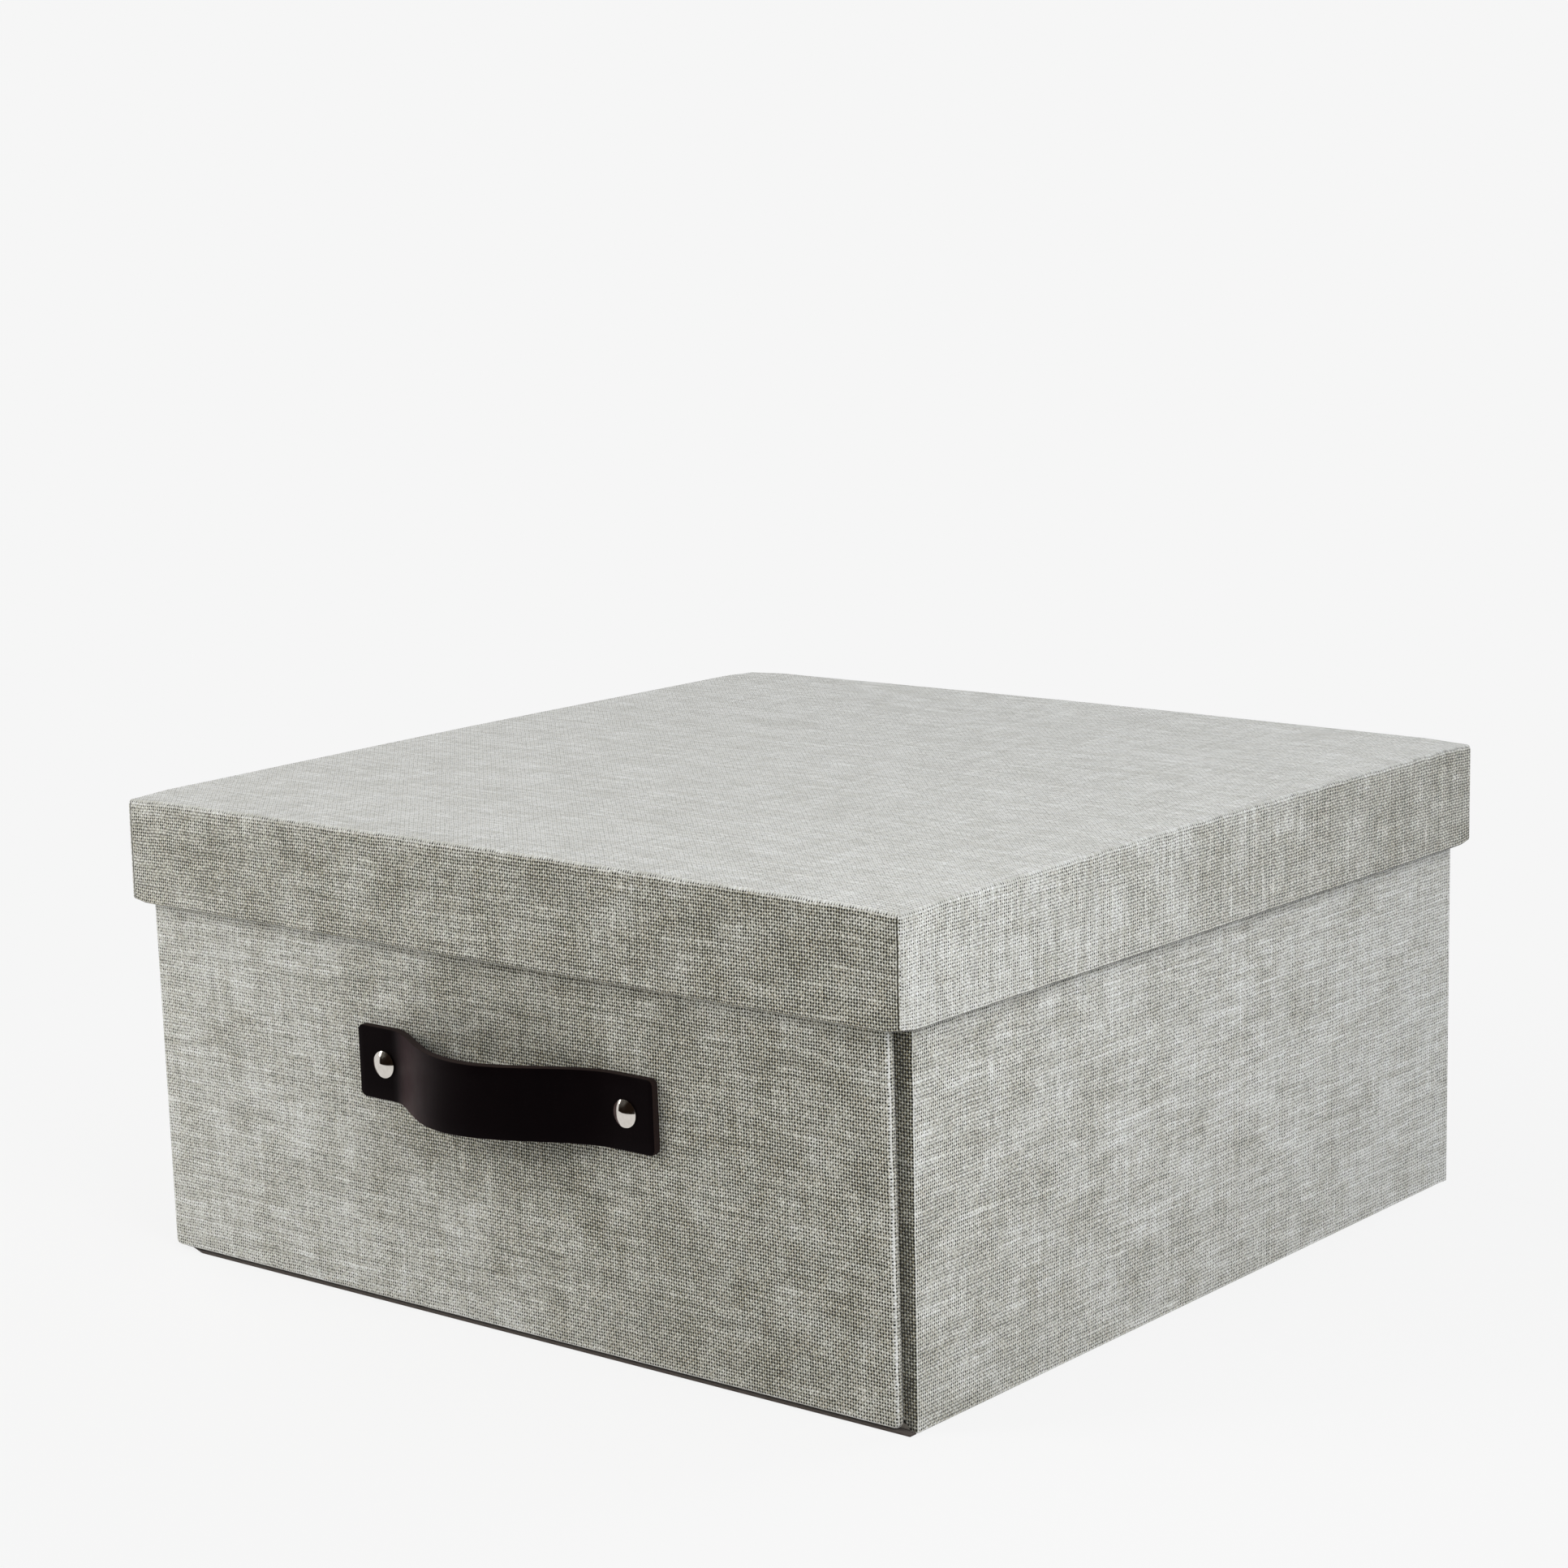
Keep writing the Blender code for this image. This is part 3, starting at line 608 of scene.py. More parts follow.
# %% [markdown]
# ## Holes for the rivets
#
# Each rivet goes through the strap and the panel. The holes are cut with a cylinder and an exact
# Boolean, as a punch would, before the panel is leant.

# %% Punch the holes
HOLE_RADIUS = 1.75 * MM
rivet_x = {}
for side in ("left", "right"):
    rivet_low, rivet_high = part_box(side + "_rivet")
    rivet_x[side] = (rivet_low.x + rivet_high.x) / 2


def punch(obj):
    take(obj)
    for spot in rivet_x.values():
        deselect()
        bpy.ops.mesh.primitive_cylinder_add(
            vertices=32,
            radius=HOLE_RADIUS,
            depth=4 * WRAPPED,
            location=(spot, -WRAPPED, STRAP_MIDDLE),
            rotation=(math.pi / 2, 0, 0),
        )
        punching = bpy.context.object
        take(obj)
        hole = obj.modifiers.new("hole", "BOOLEAN")
        hole.object = punching
        hole.operation = "DIFFERENCE"
        hole.solver = "EXACT"
        bpy.ops.object.modifier_apply(modifier=hole.name)
        bpy.data.objects.remove(punching, do_unlink=True)


punch(panel)
lean(panel)
smooth(panel)
ready(panel, "box", "canvas", "front_panel_cover")

# %% [markdown]
# ## The leather strap
#
# The strap is one flat piece of leather, 2.6 mm thick, riveted at two places nearer together than
# its holes are, so that it bows out. It is cut from a plane, its four corners are rounded, and it
# is sliced across at many stations. Then each station is moved out by the bow. The thickness comes
# last, because real leather keeps its thickness round a bend.

# %% Cut and bend the strap
LEATHER = 2.6 * MM
STRAP_WIDTH = 24.3 * MM
STRAP_CORNER = 2.2 * MM
STRAP_ROUND = 0.35 * MM
BOW = 17.3 * MM
CREST = -1.5 * MM
SWELL = {"left": 0.73, "right": 0.95}
CAP_RADIUS = 4.5 * MM
TWIST = 2.6 * MM
STATIONS = 72
FIRST_STATION = 2.4 * MM
strap_foot = STRAP_MIDDLE - STRAP_WIDTH / 2
strap_seat = -WRAPPED - BOARD_GAP - LEATHER / 2


def strap_rise(x, height):
    """How far the leather stands off. Height is 1 at its upper edge and -1 at its lower one. The
    crest lies further right along the upper edge, which bows out a little more."""
    crest = CREST + TWIST * height
    side = "left" if x < crest else "right"
    foot = rivet_x[side] + (CAP_RADIUS if side == "left" else -CAP_RADIUS)
    share = min(max((x - foot) / (crest - foot), 0), 1) ** SWELL[side]
    return BOW * (1 + 0.02 * height) * (1 - math.cos(math.pi * share)) / 2


strap_length = strap_high.x - strap_low.x
strap = new_plane(
    "handle_leather",
    ((strap_low.x + strap_high.x) / 2, 0, STRAP_MIDDLE),
    (strap_length, STRAP_WIDTH),
    (math.pi / 2, 0, 0),
)
pick(strap, "VERT", lambda vert: True)
bpy.ops.mesh.bevel(offset=STRAP_CORNER, segments=6, profile=0.5, affect="VERTICES")
for i in range(STATIONS - 1):
    along = (strap_length - 2 * FIRST_STATION) * i / (STATIONS - 2)
    cut(strap, (strap_low.x + FIRST_STATION + along, 0, 0), (1, 0, 0))
for share in (0.2, 0.4, 0.6, 0.8):
    cut(strap, (0, 0, strap_foot + STRAP_WIDTH * share), (0, 0, 1))
take(strap)
for vert in strap.data.vertices:
    height = 2 * (vert.co.z - STRAP_MIDDLE) / STRAP_WIDTH
    vert.co.y = strap_seat - LEATHER / 2 - strap_rise(vert.co.x, height)
print("strap's crest stands off", round(BOW / MM, 1), "mm")

# %% [markdown]
# The cut edge of leather is raw: lighter, browner and hairy. The rim that the thickness makes gets
# its own material, and a small bevel rounds it over as the edge tool does.

# %% Give the strap its thickness and its raw edge
for _ in ("face", "edge"):
    strap.data.materials.append(None)
add_thickness(strap, LEATHER, rim=1)
round_edges(strap, lambda edge: folded(edge, math.radians(60)), STRAP_ROUND)
punch(strap)
lean(strap)
smooth(strap, 50)
ready(strap, "box", "leather", "handle_strap")

# %% [markdown]
# ## The rivets
#
# A tubular rivet's cap is a low dome pressed from sheet. A cylinder gives the brim. Its outer face
# is then extruded and drawn in again and again along the arc of a sphere, which leaves a dome that
# mirrors the whole room, and its other face is drawn in and pushed back to make the shank.

# %% Press the rivets
DOME_STEPS = 9
# The last step stops short of the middle, so that the dome ends in a small face.
SHORT_OF_MIDDLE = 0.3
CAP = dict(
    radius=CAP_RADIUS, height=1.4 * MM, brim=0.25 * MM, shank_radius=1.5 * MM, shank=6.8 * MM
)
WASHER = dict(
    radius=4.2 * MM, height=1.4 * MM, brim=0.3 * MM, shank_radius=1.7 * MM, shank=0.1 * MM
)


def rivet(name, x, seat, way, radius, height, brim, shank_radius, shank):
    """Way is 1 for a dome that looks back, and -1 for one that looks out of the panel."""
    deselect()
    bpy.ops.mesh.primitive_cylinder_add(
        vertices=64,
        radius=radius,
        depth=brim,
        location=(x, seat + way * brim / 2, STRAP_MIDDLE),
        rotation=(math.pi / 2, 0, 0),
    )
    obj = bpy.context.object
    obj.name = name
    bpy.ops.object.transform_apply()
    centre = (x, seat, STRAP_MIDDLE)
    pick(obj, "FACE", faces_towards(y=way))
    before, risen = 1.0, 0.0
    sphere = (radius**2 + (height - brim) ** 2) / (2 * (height - brim))
    for step in range(1, DOME_STEPS + 1):
        across = 1 - (step - SHORT_OF_MIDDLE * (step == DOME_STEPS)) / DOME_STEPS
        up = math.sqrt(sphere**2 - (across * radius) ** 2) - (sphere - height + brim)
        extrude_faces(y=way * (up - risen))
        share = across / before
        bpy.ops.transform.resize(value=(share, 1, share), center_override=centre)
        before, risen = across, up
    pick(obj, "FACE", faces_towards(y=-way))
    extrude_faces()
    share = shank_radius / radius
    bpy.ops.transform.resize(value=(share, 1, share), center_override=centre)
    extrude_faces(y=-way * shank)
    lean(obj)
    smooth(obj, 40)
    return obj


cap_seat = strap_seat - LEATHER / 2 - BOARD_GAP
rivets = []
for side, x in rivet_x.items():
    dome = rivet(side + "_rivet_dome", x, cap_seat, -1, **CAP)
    rivets.append(ready(dome, "box", "nickel", side + "_rivet"))
    washer = rivet(side + "_rivet_washer", x, BOARD_GAP, 1, **WASHER)
    rivets.append(ready(washer, "box", "nickel", side + "_rivet_back"))

# %% [markdown]
# ## The base cloth and its ledge
#
# A dark cloth is glued under the base board. Along the front it is folded back on itself, and the
# fold sticks out under the panel as a thin ledge, cut at a slant on the left. A plane is extruded
# forwards to the ledge, up and back, and its two folds are rounded.

# %% Fold the base cloth
BASE_CLOTH = 0.4 * MM
LEDGE_SLANT = 8.0 * MM
LEDGE_HEIGHT = 0.72 * MM
LEDGE_BACK = 2.6 * MM
LEDGE_FOLD = 0.28 * MM
base_half_x = wall_high.x - WRAPPED - BOARD_GAP
root_y = wall_low.y - BOARD_GAP
ledge_left, ledge_right = -146.5 * MM, wall_high.x - 0.5 * MM
base = new_plane(
    "base_cloth",
    (0, (root_y + stop_y) / 2, BASE_CLOTH / 2),
    (2 * base_half_x, stop_y - root_y),
)


def front_of_base():
    """A test that passes the vertices that lie furthest forward now."""
    front = min(vert.co.y for vert in bmesh.from_edit_mesh(base.data).verts)
    return lambda vert: vert.co.y < front + HAIR / 2


pick(base, "EDGE", whole(lambda vert: vert.co.y < root_y + HAIR))
extrude_edges(y=-HAIR * 2)
in_front = front_of_base()
pick(base, "VERT", lambda vert: in_front(vert) and vert.co.x > 0)
move(x=ledge_right - base_half_x)
pick(base, "VERT", lambda vert: in_front(vert) and vert.co.x < 0)
move(x=ledge_left - LEDGE_SLANT + base_half_x)
pick(base, "EDGE", whole(in_front))
extrude_edges(y=base_low.y + BASE_CLOTH / 2 - (root_y - HAIR * 2))
in_front = front_of_base()
pick(base, "VERT", lambda vert: in_front(vert) and vert.co.x < 0)
move(x=LEDGE_SLANT)
pick(base, "EDGE", whole(in_front))
extrude_edges(z=LEDGE_HEIGHT - BASE_CLOTH)
extrude_edges(y=LEDGE_BACK)
round_edges(base, folded, LEDGE_FOLD)
unfold(base, 2, 1, 0, (0.5, 2.5))
add_thickness(base, BASE_CLOTH, offset=0)
smooth(base)
ready(base, "box", "dark_cloth", "base_wrap")

# %% [markdown]
# ## The cloth hinge
#
# The same dark cloth makes the hinge: a strip glued along the front of the base, which passes under
# the flaps and climbs the back of the panel. With the lid off it shows as a dark band inside.

# %% Lay the hinge cloth
HINGE_CLOTH = 0.2 * MM
HINGE_FOLD = 0.18 * MM
hinge_z = hinge_low.z + HINGE_CLOTH / 2
climb_y = wall_low.y - BOARD_GAP - HINGE_CLOTH / 2
turn = HINGE_CLOTH + BOARD_GAP
hinge = new_plane(
    "hinge_cloth",
    ((hinge_low.x + hinge_high.x) / 2, (climb_y + turn + hinge_high.y) / 2, hinge_z),
    (2 * hinge_high.x, hinge_high.y - climb_y - turn),
)
pick(hinge, "EDGE", whole(lambda vert: vert.co.y < climb_y + turn + HAIR))
extrude_edges(y=-turn, z=turn)
rise = hinge_high.z - hinge_z - turn
extrude_edges(y=-(rise + turn) * math.tan(PANEL_LEAN), z=rise)
round_edges(hinge, lambda edge: folded(edge, 0.3), HINGE_FOLD)
unfold(hinge, 2, 1, 0, (0.9, 2.9))
add_thickness(hinge, HINGE_CLOTH, offset=0)
smooth(hinge)
ready(hinge, "box", "dark_cloth", "front_hinge_cloth")

# %% [markdown]
# ## Loose fibres
#
# Raw edges are never clean. The strap's flesh side sheds short brown hairs along its edge, and the
# ledge's cut end frays at the right corner. Each hair is a thin three-sided tube of four pieces,
# bent by a seeded random walk, so that it costs a few dozen faces and always grows the same way.

# %% Grow short hairs from points on an edge
HAIR_PIECES, HAIR_SIDES = 4, 3
FIBRE, FIBRE_WANDER = 0.035 * MM, 0.7
THREAD, THREAD_WANDER = 0.045 * MM, 0.8
random.seed(11)


def hairs(name, roots, way, length, radius, spread):
    """Roots are points; way is where the hairs point on average."""
    points, faces = [], []
    for root in roots:
        spot, heading = Vector(root), Vector(way).normalized()
        step = length * random.uniform(0.4, 1.0) / HAIR_PIECES
        first = len(points)
        for ring in range(HAIR_PIECES + 1):
            thin = radius * (1 - 0.2 * ring)
            side = heading.orthogonal().normalized()
            for corner in range(HAIR_SIDES):
                turned = side.copy()
                turned.rotate(Matrix.Rotation(corner * math.tau / HAIR_SIDES, 3, heading))
                points.append(spot + turned * thin)
            heading += Vector(random.uniform(-spread, spread) for _ in range(3))
            heading.normalize()
            spot = spot + heading * step
        for ring in range(HAIR_PIECES):
            here = first + HAIR_SIDES * ring
            for corner in range(HAIR_SIDES):
                a, b = here + corner, here + (corner + 1) % HAIR_SIDES
                faces.append((a, b, b + HAIR_SIDES, a + HAIR_SIDES))
        last = len(points) - HAIR_SIDES
        faces.append((first + 2, first + 1, first))
        faces.append((last, last + 1, last + 2))
    mesh = bpy.data.meshes.new(name)
    mesh.from_pydata(points, [], faces)
    return new_object(name, mesh)


def strap_edge_point(height):
    """A point anywhere on the cut edge: height is 1 for the upper edge and -1 for the lower."""
    x = random.uniform(strap_low.x + 3 * MM, strap_high.x - 3 * MM)
    y = strap_seat + LEATHER * random.uniform(-0.4, 0.5) - strap_rise(x, height)
    return x, y, STRAP_MIDDLE + height * (STRAP_WIDTH / 2 - 0.1 * MM)


strap_hairs = []
for name, height, count, length in (("upper", 1, 150, 0.9 * MM), ("lower", -1, 70, 0.7 * MM)):
    roots = [strap_edge_point(height) for _ in range(count)]
    piece = "strap_" + name + "_hairs"
    grown = hairs(piece, roots, (0, 0.2, height), length, FIBRE, FIBRE_WANDER)
    strap_hairs.append(ready(lean(grown), "box", "leather"))
ledge_roots = [
    (ledge_right - random.uniform(0.1, 5.5) * MM, root_y - random.uniform(0.2, 2.6) * MM, 0.6 * MM)
    for _ in range(60)
]
ledge_fray = hairs(
    "ledge_fray", ledge_roots, (0.3, -0.2, 0.55), 1.5 * MM, THREAD, THREAD_WANDER
)
ready(ledge_fray, "box", "dark_cloth")

# %% [markdown]
# # Finishes
#
# Every finish is a Principled shader fed by patterns. Colours are written as the eye reads them off
# a screen, in sRGB, and turned to linear by one function. One more function adds a node, sets it
# and links it, so that a pattern reads from top to bottom.

# %% Colour and node helpers


def colour(code):
    """A linear RGBA colour from an sRGB hex code."""
    parts = [int(code[i : i + 2], 16) / 255 for i in (0, 2, 4)]
    linear = [p / 12.92 if p <= 0.04045 else ((p + 0.055) / 1.055) ** 2.4 for p in parts]
    return (*linear, 1)


def add(tree, kind, ins=(), out=0, **settings):
    """Adds a shader node with its settings. A kind may end with the node's operation, and an
    input is a value, a hex colour or a socket to link from."""
    kind, *operation = kind.split()
    made = tree.nodes.new("ShaderNode" + kind)
    if operation:
        made.operation = operation[0]
    for key, value in settings.items():
        setattr(made, key, value)
    for key, value in ins.items() if isinstance(ins, dict) else enumerate(ins):
        if isinstance(value, bpy.types.NodeSocket):
            tree.links.new(value, made.inputs[key])
        else:
            made.inputs[key].default_value = colour(value) if isinstance(value, str) else value
    return made if out is None else made.outputs[out]


# A Mix node has a set of sockets for each kind of value. These are the ones for colours.
SHARE, FIRST, SECOND = 0, 6, 7
COLOURS = {"data_type": "RGBA", "out": 2}


def new_finish(name, roughness, **constants):
    """A material with only its Principled shader, whose constant values are set on it."""
    material = bpy.data.materials.new(name)
    material.use_nodes = True
    shader = material.node_tree.nodes["Principled BSDF"]
    shader.inputs["Roughness"].default_value = roughness
    for key, value in constants.items():
        shader.inputs[key.replace("_", " ")].default_value = value
    return material, material.node_tree, shader


def show(tree, shader, base, height, distance, strength, roughness=None):
    """Links a finish's patterns to its shader: colour, relief and roughness."""
    tree.links.new(base, shader.inputs["Base Color"])
    relief = add(tree, "Bump", {"Strength": strength, "Distance": distance, "Height": height})
    tree.links.new(relief, shader.inputs["Normal"])
    if roughness is not None:
        tree.links.new(roughness, shader.inputs["Roughness"])


def flecked(name, roughness, size, detail, colours, distance, strength, gloss=None, **constants):
    """A finish whose colour, relief and gloss follow one noise, with flecks of the given size."""
    material, tree, shader = new_finish(name, roughness, **constants)
    place = add(tree, "TexCoord", out=3)
    flecks = add(tree, "TexNoise", {"Vector": place, "Scale": 1 / size, "Detail": detail})
    blend = add(tree, "Mix", {SHARE: flecks, FIRST: colours[0], SECOND: colours[1]}, **COLOURS)
    gloss = gloss and add(tree, "MapRange", (flecks, 0.3, 0.7, *gloss))
    show(tree, shader, blend, flecks, distance, strength, gloss)
    return material


# %% [markdown]
# ## Coated linen canvas
#
# Linen canvas in plain weave, about one thread per millimetre each way, pasted with a pale coating
# that has been rubbed over it. The coating stays on what stands proud, so the eye sees pale threads
# on a grid of small dark holes, and brown patches and streaks where it is thin. So the pattern is
# built as the cloth is: first the height of the threads as they pass over and under, then the
# coating, which covers whatever rises above a wandering level.

# %% Threads of a plain weave
WARP_PITCH = 1.0 * MM
WEFT_PITCH = 1.04 * MM


def plain_weave(tree, warp_pitch, weft_pitch, thread_share, wander, slub):
    """Gives the weave's height in thread radii, its coordinates in threads, the threads' girths,
    where warp passes over weft, the way to the nearest hole, and a number drawn for that hole.

    Thread_share is a thread's half width in pitches, slub is how much that changes along it, and
    wander is how far the threads stray from straight.
    """
    cloth = add(tree, "UVMap", uv_map="cloth")
    pitches = (1 / warp_pitch, 1 / weft_pitch, 1)
    scaled = add(tree, "VectorMath MULTIPLY", (cloth, pitches))
    drift = add(tree, "TexNoise", {"Vector": scaled, "Scale": 0.13, "Detail": 2}, out=1)
    centred = add(tree, "VectorMath SUBTRACT", (drift, (0.5, 0.5, 0.5)))
    shift = add(tree, "VectorMath SCALE", {0: centred, "Scale": wander})
    threads = add(tree, "VectorMath ADD", (scaled, shift))
    split = add(tree, "SeparateXYZ", (threads,), out=None)
    across, along = split.outputs[0], split.outputs[1]
    warp = add(tree, "Math ROUND", (across,))
    weft = add(tree, "Math ROUND", (along,))
    heights, girths, waves = [], [], []
    for here, number, there, sign in ((across, warp, along, 1), (along, weft, across, -1)):
        # The thread's own thickness changes slowly along it, and starts afresh in each thread.
        own_row = add(tree, "Math MULTIPLY", (number, 7.31 * sign))
        way_along = add(tree, "Math MULTIPLY", (there, 0.055))
        place = add(tree, "CombineXYZ", (own_row, way_along, 3.7 * sign))
        grown = add(tree, "TexNoise", {"Vector": place, "Scale": 1.0, "Detail": 1})
        girths.append(grown)
        thin, thick = thread_share - slub, thread_share + slub
        share = add(tree, "MapRange", (grown, 0.25, 0.75, thin, thick))
        off = add(tree, "Math SUBTRACT", (here, number))
        part = add(tree, "Math DIVIDE", (off, share))
        fall = add(tree, "Math POWER", (part, 2.0))
        turn_here = add(tree, "Math MULTIPLY", (number, math.pi))
        turn_there = add(tree, "Math MULTIPLY", (there, math.pi))
        phase = add(tree, "Math COSINE", (turn_here,))
        wave = add(tree, "Math COSINE", (turn_there,))
        waves.append(wave)
        lift = add(tree, "Math MULTIPLY", (phase, wave))
        lift = add(tree, "Math MULTIPLY", (lift, 0.45 * sign))
        crown = add(tree, "Math SUBTRACT", (1.0, fall))
        heights.append(add(tree, "Math ADD", (crown, lift)))
    height = add(tree, "Math SMOOTH_MAX", (*heights, 0.25))
    # Holes lie midway between threads, both ways.
    cell = add(tree, "VectorMath FLOOR", (threads,))
    inside = add(tree, "VectorMath FRACTION", (threads,))
    inside = add(tree, "VectorMath SUBTRACT", (inside, (0.5, 0.5, 0.0)))
    inside = add(tree, "VectorMath MULTIPLY", (inside, (1, 1, 0)))
    from_hole = add(tree, "VectorMath LENGTH", (inside,), out=1)
    drawn = add(tree, "TexWhiteNoise", (cell,), noise_dimensions="2D")
    over = add(tree, "Math MULTIPLY", waves)
    return height, scaled, girths, over, from_hole, drawn


# %% Where the coating is worn, and where shade is painted
canvas, tree, shader = new_finish(
    "coated_linen_canvas",
    0.9,
    Sheen_Weight=0.4,
    Sheen_Roughness=0.5,
    Specular_IOR_Level=0.05,
)
height, scaled, girths, over, from_hole, drawn = plain_weave(
    tree, WARP_PITCH, WEFT_PITCH, thread_share=0.36, wander=0.9, slub=0.07
)
rub_and_shade = add(tree, "Attribute", out=2, attribute_name="rub_and_shade")
wear_and_shade = rub_and_shade
# Broad patches, upright streaks, level streaks and a fine grain: how many threads each is long
# across and along, its detail and roughness, and how much it counts.
for across, along, detail, roughness, amount in (
    (18, 22, 3, 0.55, 0.75),
    (1.6, 26, 3, 0.55, 0.3),
    (26, 1.6, 3, 0.55, 0.45),
    (2.5, 2.5, 2, 0.6, 0.35),
):
    place = add(tree, "VectorMath MULTIPLY", (scaled, (1 / across, 1 / along, 1)))
    pattern = add(
        tree, "TexNoise", {"Vector": place, "Scale": 1, "Detail": detail, "Roughness": roughness}
    )
    wear_and_shade = add(tree, "Math MULTIPLY_ADD", (pattern, amount, wear_and_shade))
# Each noise averages a half, so the sum of the four lies about 0.9.
wear_and_shade = add(tree, "MapRange", (wear_and_shade, 0.55, 1.45, 0.0, 1.0))

# %% Holes between the threads, painted dark with shade
# A thick place in a thread is a slub. The weft has more of them than the warp.
girth = add(tree, "Math MULTIPLY", (girths[0], 0.7))
girth = add(tree, "Math MULTIPLY_ADD", (girths[1], 1.3, girth))
# Each hole has its own size. It is larger beside a thin thread, and wear opens it, as does the
# painted shade carried with the rub.
luck = add(tree, "Math MULTIPLY_ADD", (drawn, 0.09, 0.035))
luck = add(tree, "Math MULTIPLY_ADD", (girth, -0.07, luck))
reach = add(tree, "Math MULTIPLY_ADD", (wear_and_shade, 0.21, luck))
edge = add(tree, "Math SUBTRACT", (from_hole, reach))
hole = add(tree, "MapRange", (edge, 0.17, 0.32, 1.0, 0.0), interpolation_type="SMOOTHSTEP")
# How dark each hole is painted: painted shade, deeper where the coating is worn.
chance = add(tree, "Math MULTIPLY_ADD", (drawn, 0.7, 0.34))
hole_shade_depth = add(tree, "Math MULTIPLY_ADD", (wear_and_shade, 0.55, chance))
hole_shade_depth = add(tree, "MapRange", (hole_shade_depth, 0.0, 0.95, 0.2, 1.1))
# Round a fold the coating lies thick and closes the holes, and a slub fills those beside it.
unfolded = add(tree, "MapRange", (rub_and_shade, -1.4, -0.7, 0.0, 1.0))
filled = add(tree, "MapRange", (girth, 1.24, 1.5, 1.0, 0.35))
for share in (hole_shade_depth, unfolded, filled):
    hole = add(tree, "Math MULTIPLY", (hole, share))

# %% Colours of the coating and of the bare thread
flank = add(tree, "MapRange", (height, 0.2, 1.2, 1.0, 0.0))
rubbed_and_shaded = add(tree, "MapRange", (wear_and_shade, 0.0, 1.0, 0.3, 1.0))
flank = add(tree, "Math MULTIPLY", (flank, rubbed_and_shaded))
# A bead of warp on top is paler than a bead of weft, all the more where the coating is thin.
bead = add(tree, "MapRange", (over, 0.7, -0.9, 0.0, 1.0), interpolation_type="SMOOTHSTEP")
bead = add(tree, "Math MULTIPLY", (bead, rubbed_and_shaded))
flank = add(tree, "Math MAXIMUM", (flank, bead))
flank = add(tree, "Math MULTIPLY", (flank, filled))
place = add(tree, "VectorMath MULTIPLY", (scaled, (1 / 5, 1 / 7, 1)))
hue = add(tree, "TexNoise", {"Vector": place, "Scale": 1, "Detail": 3, "Roughness": 0.55})
hue = add(tree, "MapRange", (hue, 0.35, 0.65, 0.0, 1.0))
thick, thin, bare = (
    add(tree, "Mix", {SHARE: hue, FIRST: first, SECOND: second}, **COLOURS)
    for first, second in (("e8e9e9", "e4e5e4"), ("d3d2c6", "cdcabb"), ("8c8a74", "8f8669"))
)
coating = add(tree, "Mix", {SHARE: wear_and_shade, FIRST: thick, SECOND: thin}, **COLOURS)
# A thin thread holds less of the coating than a thick one.
spare = add(tree, "Mix", {SHARE: 0.4, FIRST: coating, SECOND: "9f9d90"}, **COLOURS)
girth = add(tree, "MapRange", (girth, 0.75, 1.25, 0.0, 1.0))
coating = add(tree, "Mix", {SHARE: girth, FIRST: spare, SECOND: coating}, **COLOURS)
threads = add(tree, "Mix", {SHARE: flank, FIRST: coating, SECOND: bare}, **COLOURS)
# The holes are painted near black: painted shade deep between the threads.
cloth_colour = add(tree, "Mix", {SHARE: hole, FIRST: threads, SECOND: "14130b"}, **COLOURS)
show(tree, shader, cloth_colour, height, 0.12 * MM, 0.8)
print("canvas:", round(1 / WARP_PITCH * MM, 2), "threads a millimetre,", len(tree.nodes), "nodes")

# %% The canvas's raw edge in the seams, with painted shade
# The seam's near black is painted shade in the slit, over the raw edge's fluff.
SEAM_SHADE_FLUFF = ("1b1a16", "4d4a42")
seam_cloth_and_shade = flecked(
    "raw_canvas_edge_and_painted_seam_shade", 0.95, 0.4 * MM, 3, SEAM_SHADE_FLUFF, 0.05 * MM, 0.5, Specular_IOR_Level=0.1
)

# %% [markdown]
# ## Dark base cloth
#
# Bookbinder's buckram: a fine cotton weave filled with starch and dyed a dark brown. Its threads
# are half the canvas's, so they only break up the light. It is matt, with a little dust on it.

# %% Dark base cloth
BUCKRAM_PITCH = 0.5 * MM
buckram, tree, shader = new_finish(
    "dyed_buckram", 0.85, Sheen_Weight=0.15, Specular_IOR_Level=0.3
)
height, scaled, *_ = plain_weave(tree, BUCKRAM_PITCH, BUCKRAM_PITCH, 0.46, 0.6, 0.04)
tone = add(tree, "MapRange", (height, -0.4, 1.4, 0.0, 1.0))
dyed = add(tree, "Mix", {SHARE: tone, FIRST: "181413", SECOND: "4a413c"}, **COLOURS)
dust = add(tree, "TexNoise", {"Vector": scaled, "Scale": 1 / 9, "Detail": 3, "Roughness": 0.55})
dusty = add(tree, "MapRange", (dust, 0.45, 0.75, 0.0, 0.3))
dyed = add(tree, "Mix", {SHARE: dusty, FIRST: dyed, SECOND: "5d544e"}, **COLOURS)
show(tree, shader, dyed, height, 0.07 * MM, 0.7)

# %% [markdown]
# ## Leather
#
# Vegetable-tanned cowhide, dyed through to a brown that is nearly black, with a pigmented grain
# side. The grain is a fine pebble of cells about half a millimetre across, and the finish is a
# soft low gloss, so a bend shows as a broad grey sheen. The cut edge is raw and lets the fibres
# show: browner, lighter and quite matt.

